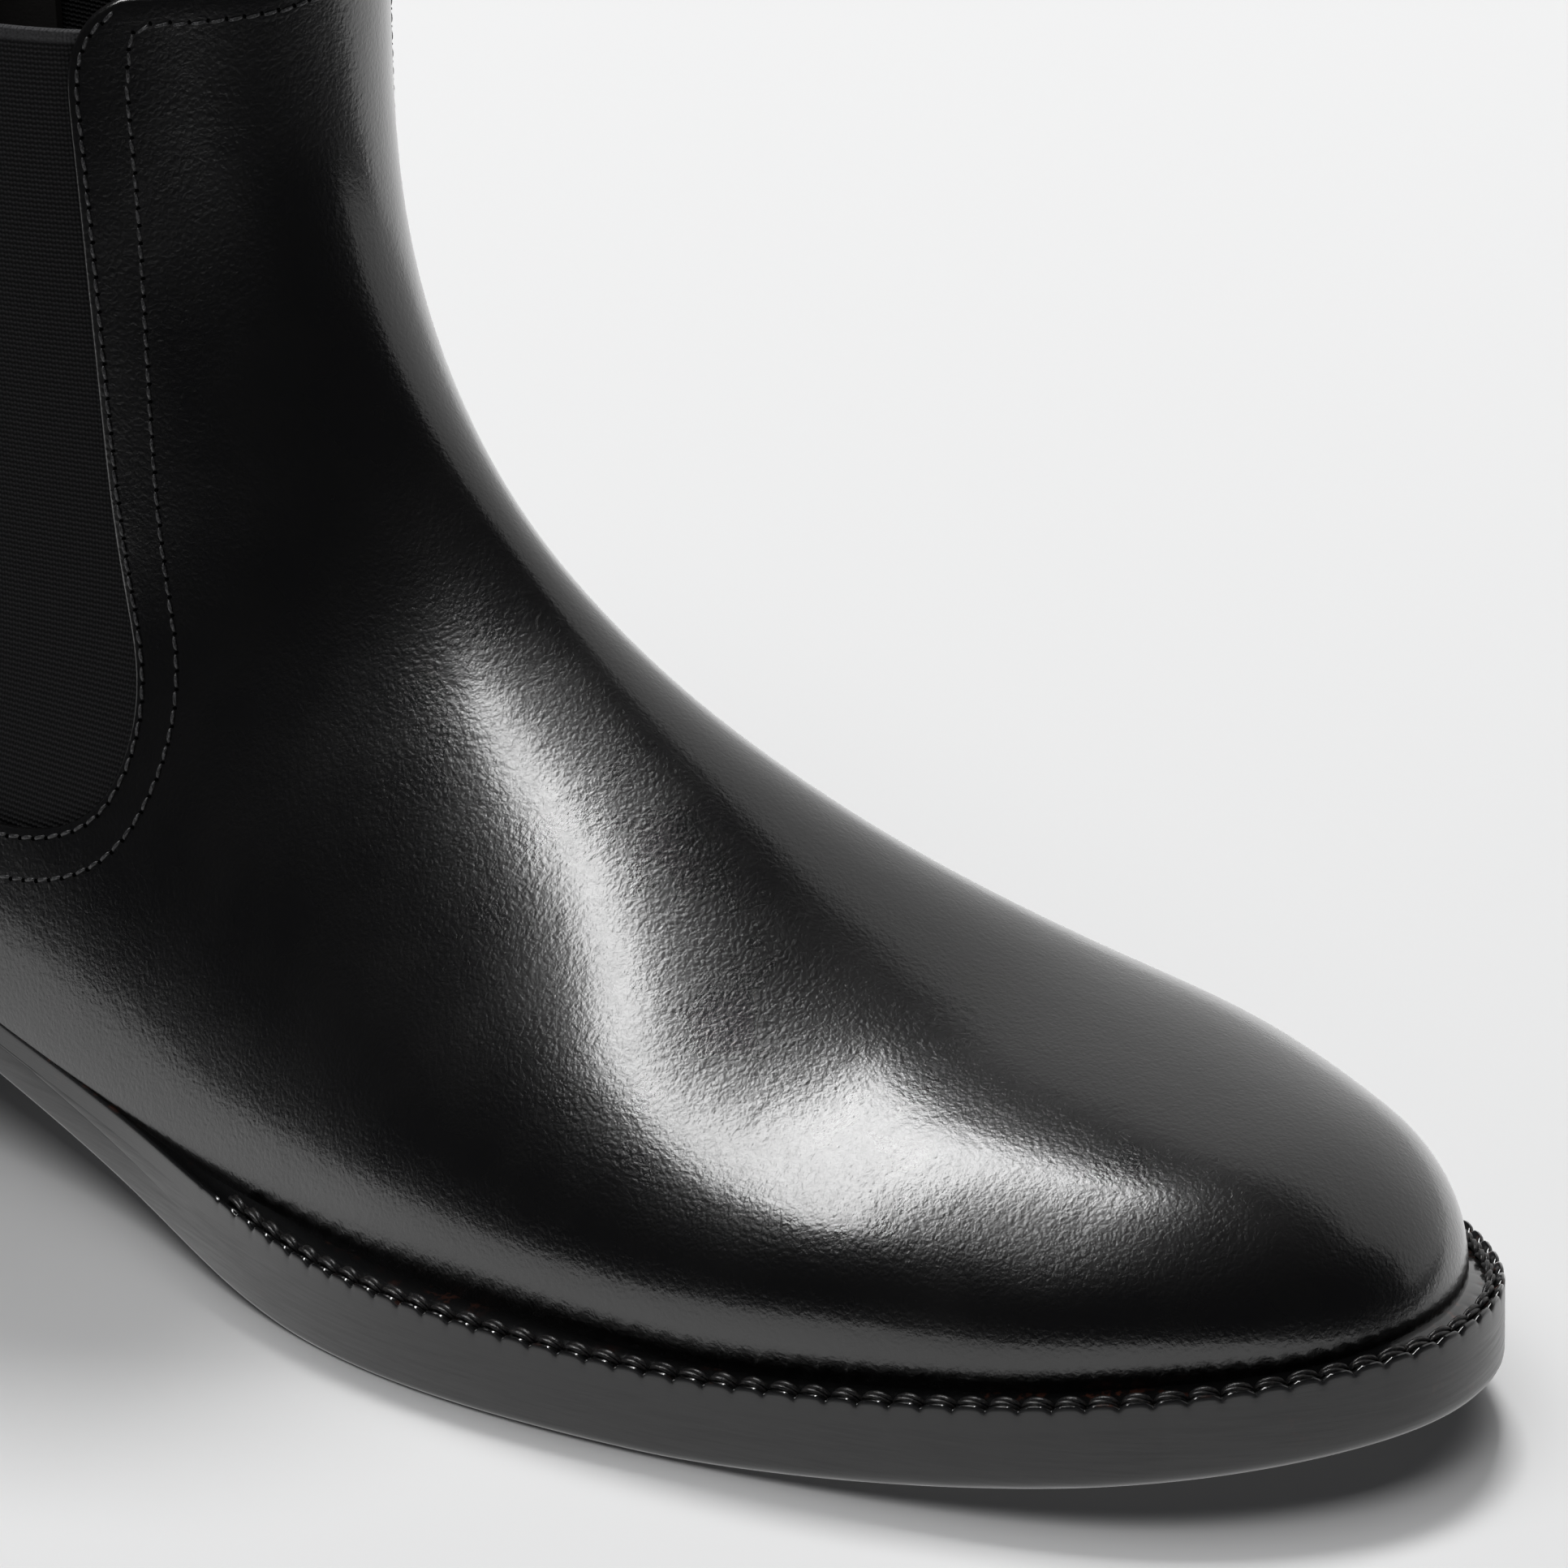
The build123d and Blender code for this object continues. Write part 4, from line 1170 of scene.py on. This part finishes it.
rubber, webbing_finish = rubber_finish(), webbing_weave()
steel_finish = metal_finish("shank_steel", (0.45, 0.45, 0.46), 0.35)
brass_finish = metal_finish("nail_brass", (0.72, 0.48, 0.20), 0.3)

# %% [markdown]
# ## Rows of stitches
#
# The seam through the welt runs close to its edge with one stitch on each scallop.  Finer rows
# hold the leather to the elastic: one at its very edge and one about 5 mm away, which turns along
# the topline at its top end.  The rows are points on the skin; the node group sets the thread.

# %% welt seam
centre_d = (np.arange(stitch_count) + 0.5) * pitch
seam_spots, seam_outs = outline_at(centre_d)
keep = sewn(seam_spots[:, 0], seam_spots[:, 1]) > 0.35
seam_spots, seam_outs = seam_spots[keep], seam_outs[keep]
inset_spots = seam_spots - seam_outs * 1.75
seam_z = feather(inset_spots[:, 0]) + 0.12
aims = np.column_stack([-seam_outs[:, 1], seam_outs[:, 0], np.zeros(len(seam_outs))])
slope = (feather(inset_spots[:, 0] + aims[:, 0]) - feather(inset_spots[:, 0] - aims[:, 0])) / 2
aims[:, 2] = slope
aims /= np.linalg.norm(aims, axis=1, keepdims=True)
lifts = np.tile((0.0, 0.0, 1.0), (len(aims), 1)) + np.column_stack([seam_outs * 0.25, np.zeros(len(aims))])
rng = np.random.default_rng(7)
sizes = np.column_stack([rng.uniform(0.95, 1.04, len(aims)), rng.uniform(0.92, 1.08, len(aims)), rng.uniform(0.9, 1.1, len(aims))])
welt_shape = thread_shape("welt_stitch_shape", 3.8, 0.60, 3, 0.3, around=6, steps=11)
places = np.column_stack([inset_spots, seam_z])
welt_stitches = set_stitches("welt_seam", places, aims, lifts, sizes, welt_shape, welt_thread)

# %% seams of the upper


def field_line(level):
    """The line at a distance outside the opening, in side view, evenly divided."""
    ahead = np.gradient(gore_line, axis=0)
    ahead /= np.linalg.norm(ahead, axis=1, keepdims=True)
    away = np.column_stack([-ahead[:, 1], ahead[:, 0]])
    flip = np.sign(outside_gore(*(gore_line + away * 0.5).T))
    line = gore_line + away * flip[:, None] * level
    good = (np.abs(outside_gore(line[:, 0], line[:, 1]) - level) < 0.15) & (line[:, 1] < topline(line[:, 0]) - 1.2)
    return line[good]


def row_on_skin(line, side, step):
    """Places, aims and normals along a line given in side view."""
    lifted, normals = zip(*[skin_beside(x, z, side) for x, z in line])
    lifted, normals = np.array(lifted), np.array(normals)
    length = np.concatenate([[0], np.cumsum(np.linalg.norm(np.diff(lifted, axis=0), axis=1))])
    even = np.arange(step / 2, length[-1], step)
    place = np.stack([np.interp(even, length, lifted[:, k]) for k in range(3)], -1)
    ahead = np.gradient(place, axis=0)
    ahead /= np.linalg.norm(ahead, axis=1, keepdims=True)
    normal = np.stack([np.interp(even, length, normals[:, k]) for k in range(3)], -1)
    normal /= np.linalg.norm(normal, axis=1, keepdims=True)
    return place, ahead, normal


def topline_points(angles, drop):
    """Points on the skin below the topline, at these angles round the shaft."""
    points = []
    for angle in angles:
        runs = np.linspace(section_knots[1], section_knots[2], 80)
        p = last_point(runs, np.full(80, angle))
        gap = p[:, 2] - topline(p[:, 0]) + drop
        i = np.nonzero(gap < 0)[0][0]
        points.append(p[i])
    return points


fine_shape = thread_shape("fine_stitch_shape", 2.0, 0.24, 1, 0, around=6, steps=7)
hole_shape = thread_shape("needle_hole_shape", 0.5, 0.26, 1, 0, around=6, steps=4)
# Needle holes are matte near-black dots on the leather: painted shade inside the holes.
hole_painted_shade, hole_tree, _ = material("needle_hole_painted_shade", (0.002, 0.002, 0.002), 0.9, specular=0.0)
hole_place = coordinates(hole_tree)
hole_tree.links.new(ranged(hole_tree, noise(hole_tree, hole_place, 900), 0, 1, 0.8, 1.0),
                    hole_tree.nodes["Principled BSDF"].inputs["Roughness"])
rows_made = []
for side in (-1, 1):
    for level, height in ((1.15, 200.0), (6.1, 140.0)):
        line_2d = field_line(level)
        rows_made.append(row_on_skin(line_2d[line_2d[:, 1] < height], side, 2.25))


def cap_row(front):
    """The outer row's way from one gore to the other: up, round a corner and along the topline."""
    line = field_line(6.1)
    ends = line[line[:, 1] < 140.0]
    end = ends[0] if (ends[0][0] > seam_x) == front else ends[-1]
    step = 1.0 if front else -1.0
    rise = [(end[0] + 0.1 * step * k, end[1] + k) for k in np.linspace(0, float(topline(end[0])) - 5.4 - end[1], 8)]
    corner = (rise[-1][0] + 0.7 * step, rise[-1][1] + 1.4)
    limit = corner[0] + 1.2 * step
    angles = np.linspace(-np.pi / 2, np.pi / 2, 181) + (0 if front else np.pi)
    across = [p for p in topline_points(angles, 3.3) if (p[0] > limit) == front]
    across = across if across[0][1] < 0 else across[::-1]
    left = [skin_beside(x, z, -1)[0] for x, z in [*rise, corner]]
    right = [skin_beside(x, z, 1)[0] for x, z in [*rise, corner]]
    return np.array(left + across + right[::-1])


def spaced(path, step):
    """Places, aims and normals at even steps along a path on the skin."""
    length = np.concatenate([[0], np.cumsum(np.linalg.norm(np.diff(path, axis=0), axis=1))])
    even = np.arange(step / 2, length[-1], step)
    place = np.stack([np.interp(even, length, path[:, k]) for k in range(3)], -1)
    place, normal = on_skin(place)
    centre = np.column_stack([np.full(len(place), 40.0), np.zeros(len(place)), place[:, 2]])
    normal *= np.sign(((place - centre) * normal).sum(1))[:, None]
    ahead = np.gradient(place, axis=0)
    return place, ahead / np.linalg.norm(ahead, axis=1, keepdims=True), normal


for front in (True, False):
    rows_made.append(spaced(cap_row(front), 2.25))
seam_front = np.array([(seam_x + 1.6, z) for z in np.linspace(feather(seam_x) + 1.0, gore_floor - 6.5, 60)])
for side in (-1, 1):
    rows_made.append(row_on_skin(seam_front, side, 2.25))
    rows_made.append(row_on_skin(seam_front - (3.2, 0), side, 2.25))
all_places = np.vstack([r[0] + r[2] * 0.10 for r in rows_made])
all_aims, all_lifts = np.vstack([r[1] for r in rows_made]), np.vstack([r[2] for r in rows_made])
all_aims = all_aims + np.cross(all_lifts, all_aims) * 0.12
ones = np.ones((len(all_places), 3))
upper_rows = set_stitches("upper_seams", all_places, all_aims, all_lifts, ones, fine_shape, upper_thread)
# The holes beside each stitch are dark dots, painted shade.
hole_places = all_places + all_aims * 1.12 - all_lifts * 0.02
hole_shade_rows = set_stitches("needle_holes", hole_places, all_aims, all_lifts, ones, hole_shape, hole_painted_shade)

# %% [markdown]
# ## The pull loop
#
# A loop of woven webbing at the back of the topline pulls the boot on.  It folds on its own hinge,
# so its band is one piece that rides on the loop's body, and the sewn tails below stay with the boot.

# %% loop band
loop_low, loop_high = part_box("pull_tab_loop")
loop_low, loop_high = np.array(loop_low) / MM, np.array(loop_high) / MM
mid_x = (loop_low[0] + loop_high[0]) / 2


def loop_line():
    """Side view of the band's middle line: up one side, over the top and down the other."""
    half, low, high = 4.5 + 0.65, loop_low[2] + 2.0, loop_high[2] - 5.8
    line = []
    for t in np.linspace(0, 1, 16):
        line.append((-0.75 - (half - 0.75) * (3 * t * t - 2 * t ** 3), low + (high - low) * t))
    for t in np.linspace(0, np.pi, 22)[1:-1]:
        line.append((-half * np.cos(t), high + half * np.sin(t)))
    return line + [(-x, z) for x, z in line[:16][::-1]]


band_line = np.array(loop_line())
band_ahead = np.gradient(band_line, axis=0)
band_ahead /= np.linalg.norm(band_ahead, axis=1, keepdims=True)
band_out = np.column_stack([-band_ahead[:, 1], band_ahead[:, 0]])
band_frames = [(np.array((mid_x + p[0], 0, p[1])), np.array((0, 1.0, 0)), np.array((o[0], 0, o[1]))) for p, o in zip(band_line, band_out)]
w, h = 9.7, 0.6
band_profile = [(-w, -h * 0.4), (-w + 0.3, -h), (-w * 0.5, -h), (0, -h), (w * 0.5, -h), (w - 0.3, -h), (w, -h * 0.4),
                (w, h * 0.4), (w - 0.3, h), (w * 0.5, h), (0, h), (-w * 0.5, h), (-w + 0.3, h), (-w, h * 0.4)]
band = face_out(make_object("pull_loop_band", *swept(band_frames, band_profile, False)))

# %% [markdown]
# ## Dressing the frame
#
# Every piece rides on its body, takes its finish and says which solids it stands for.
# The solids that keep their own shape only get a finish.

# %% ride, replace, finish


def dress(obj, finish, slot, *stands_for, body="boot"):
    obj.data.materials.clear()
    obj.data.materials.append(finish)
    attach(obj, body)
    if stands_for:
        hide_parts(*stands_for)


dress(vamp, leather_finish, "upper_leather", "vamp")
dress(quarter, leather_finish, "upper_leather", "quarter")
dress(fold_front, leather_finish, "upper_leather")
dress(fold_back, leather_finish, "upper_leather")
dress(gore_outer, elastic_finish, "elastic", "gore_lateral")
dress(gore_inner, elastic_finish, "elastic", "gore_medial")
dress(welt, welt_finish, "welt_leather", "welt", "heel_rand")
dress(midsole, sole_edge_finish, "sole_leather", "midsole")
dress(outsole, sole_edge_finish, "sole_leather", "outsole")
dress(welt_stitches, welt_thread, "thread", "welt_stitches")
dress(upper_rows, upper_thread, "thread")
dress(hole_shade_rows, hole_painted_shade, "thread")
dress(band, webbing_finish, "webbing", "pull_tab_loop", body="pull_loop")
node_finishes = {
    "vamp_lining": lining_finish, "quarter_lining": lining_finish, "toe_puff": board_finish,
    "vamp_interlining": lining_finish, "heel_counter": board_finish, "quarter_interlining": lining_finish,
    "insole": board_finish, "sock_liner": sock_finish, "insole_rib": board_finish, "shank": steel_finish,
    "cork_filler": cork_finish, "heel_lift_upper": sole_edge_finish, "heel_lift_middle": sole_edge_finish,
    "heel_lift_lower": sole_edge_finish, "heel_top_piece": rubber, "heel_nails": brass_finish,
    "pull_tab_anchor": webbing_finish,
}
for name, finish in node_finishes.items():
    mesh = nodes[name].data
    mesh.materials.clear()
    mesh.materials.append(finish)
print("dressed", len(node_finishes), "CAD nodes")

# %% [markdown]
# ## Floor, light and camera
#
# Black polish shows what stands round it, so most of this look is made by reflections.  Bright
# cards that only glossy rays can see draw the highlights, and two wide lamps that glossy rays
# can't see light the pale floor.  That keeps the floor's brightness apart from the polish.

# %% stage
bpy.ops.mesh.primitive_plane_add(size=14, location=(0, 0, 0))
floor = bpy.context.object
floor.name = "floor"
floor_finish, floor_tree, floor_shader = material("pale_floor", (0.86, 0.86, 0.86), 0.9, specular=0.0)
floor.data.materials.append(floor_finish)
floor.visible_glossy = False

world = bpy.data.worlds.new("studio") if not bpy.data.worlds else bpy.data.worlds[0]
bpy.context.scene.world = world
world.use_nodes = True
world.node_tree.nodes["Background"].inputs["Color"].default_value = (0.9, 0.92, 1.0, 1)
world.node_tree.nodes["Background"].inputs["Strength"].default_value = 0.04


def lamp(name, spot, target, width, height, power, colour=(1, 1, 1), glossy=True):
    """A soft rectangular light aimed at a point."""
    data = bpy.data.lights.new(name, "AREA")
    data.shape, data.size, data.size_y, data.energy, data.color = "RECTANGLE", width, height, power, colour
    obj = bpy.data.objects.new(name, data)
    bpy.context.scene.collection.objects.link(obj)
    obj.location = spot
    obj.rotation_mode = "QUATERNION"
    obj.rotation_quaternion = (Vector(target) - Vector(spot)).to_track_quat("-Z", "Y")
    obj.visible_glossy = glossy
    return obj


lamp("key_above", (-0.45, 0.75, 1.9), (0.1, 0, 0), 0.5, 0.5, 24, glossy=False)
lamp("room_fill", (0.0, -0.3, 3.6), (0.1, 0, 0), 4.5, 4.5, 84, glossy=False)


def card(name, corners, strength):
    """A plain bright card that shows only as a reflection in the polish."""
    obj = make_object(name, [[c / MM for c in corner] for corner in corners], [(0, 1, 2, 3)], False)
    m = bpy.data.materials.new(name)
    m.use_nodes = True
    tree = m.node_tree
    tree.nodes.clear()
    glow, out = tree.nodes.new("ShaderNodeEmission"), tree.nodes.new("ShaderNodeOutputMaterial")
    glow.inputs["Strength"].default_value = strength
    tree.links.new(glow.outputs[0], out.inputs["Surface"])
    obj.data.materials.append(m)
    obj.visible_camera = obj.visible_diffuse = obj.visible_shadow = obj.visible_transmission = False
    return obj


card("soft_card", [(-0.44, -1.03, 1.45), (-0.14, -1.03, 1.45), (-0.14, 0.30, 1.45), (-0.44, 0.30, 1.45)], 15.0)
card("sheet_card", [(-0.6, -0.18, -0.001), (0.33, -0.18, -0.001), (0.33, 1.0, -0.001), (-0.6, 1.0, -0.001)], 0.9)
card("sweep_card", [(-1.2, 1.0, 0.0), (1.3, 1.0, 0.0), (1.0, 0.85, 1.45), (-1.0, 0.85, 1.45)], 0.55)

# %% camera


def aim_camera():
    """A long lens on the outer side, turned slightly, aimed at the middle of the view."""
    azimuth, elevation, tilt = math.radians(41.74), math.radians(21.79), math.radians(-0.74)
    right = Vector((math.cos(azimuth), math.sin(azimuth), 0))
    back = Vector((math.sin(azimuth) * math.cos(elevation), -math.cos(azimuth) * math.cos(elevation), math.sin(elevation)))
    up = back.cross(right)
    target = Vector((0.150, 0, 0.050)) + right * 0.04478 + up * 0.03239
    right, up = right * math.cos(tilt) + up * math.sin(tilt), up * math.cos(tilt) - right * math.sin(tilt)
    data = bpy.data.cameras.new("camera")
    data.sensor_width, data.lens = 36.0, 257.1
    obj = bpy.data.objects.new("camera", data)
    bpy.context.scene.collection.objects.link(obj)
    look = (-back - right * 0.02299 - up * 0.01832).normalized()
    side = look.cross(up).normalized()
    true_up = side.cross(look)
    obj.matrix_world = Matrix((
        (side.x, true_up.x, -look.x, target.x + back.x * 1.3396),
        (side.y, true_up.y, -look.y, target.y + back.y * 1.3396),
        (side.z, true_up.z, -look.z, target.z + back.z * 1.3396),
        (0, 0, 0, 1)))
    data.clip_start, data.clip_end = 0.05, 40
    bpy.context.scene.camera = obj
    return obj


camera = aim_camera()
bpy.context.scene.view_settings.view_transform = "Standard"
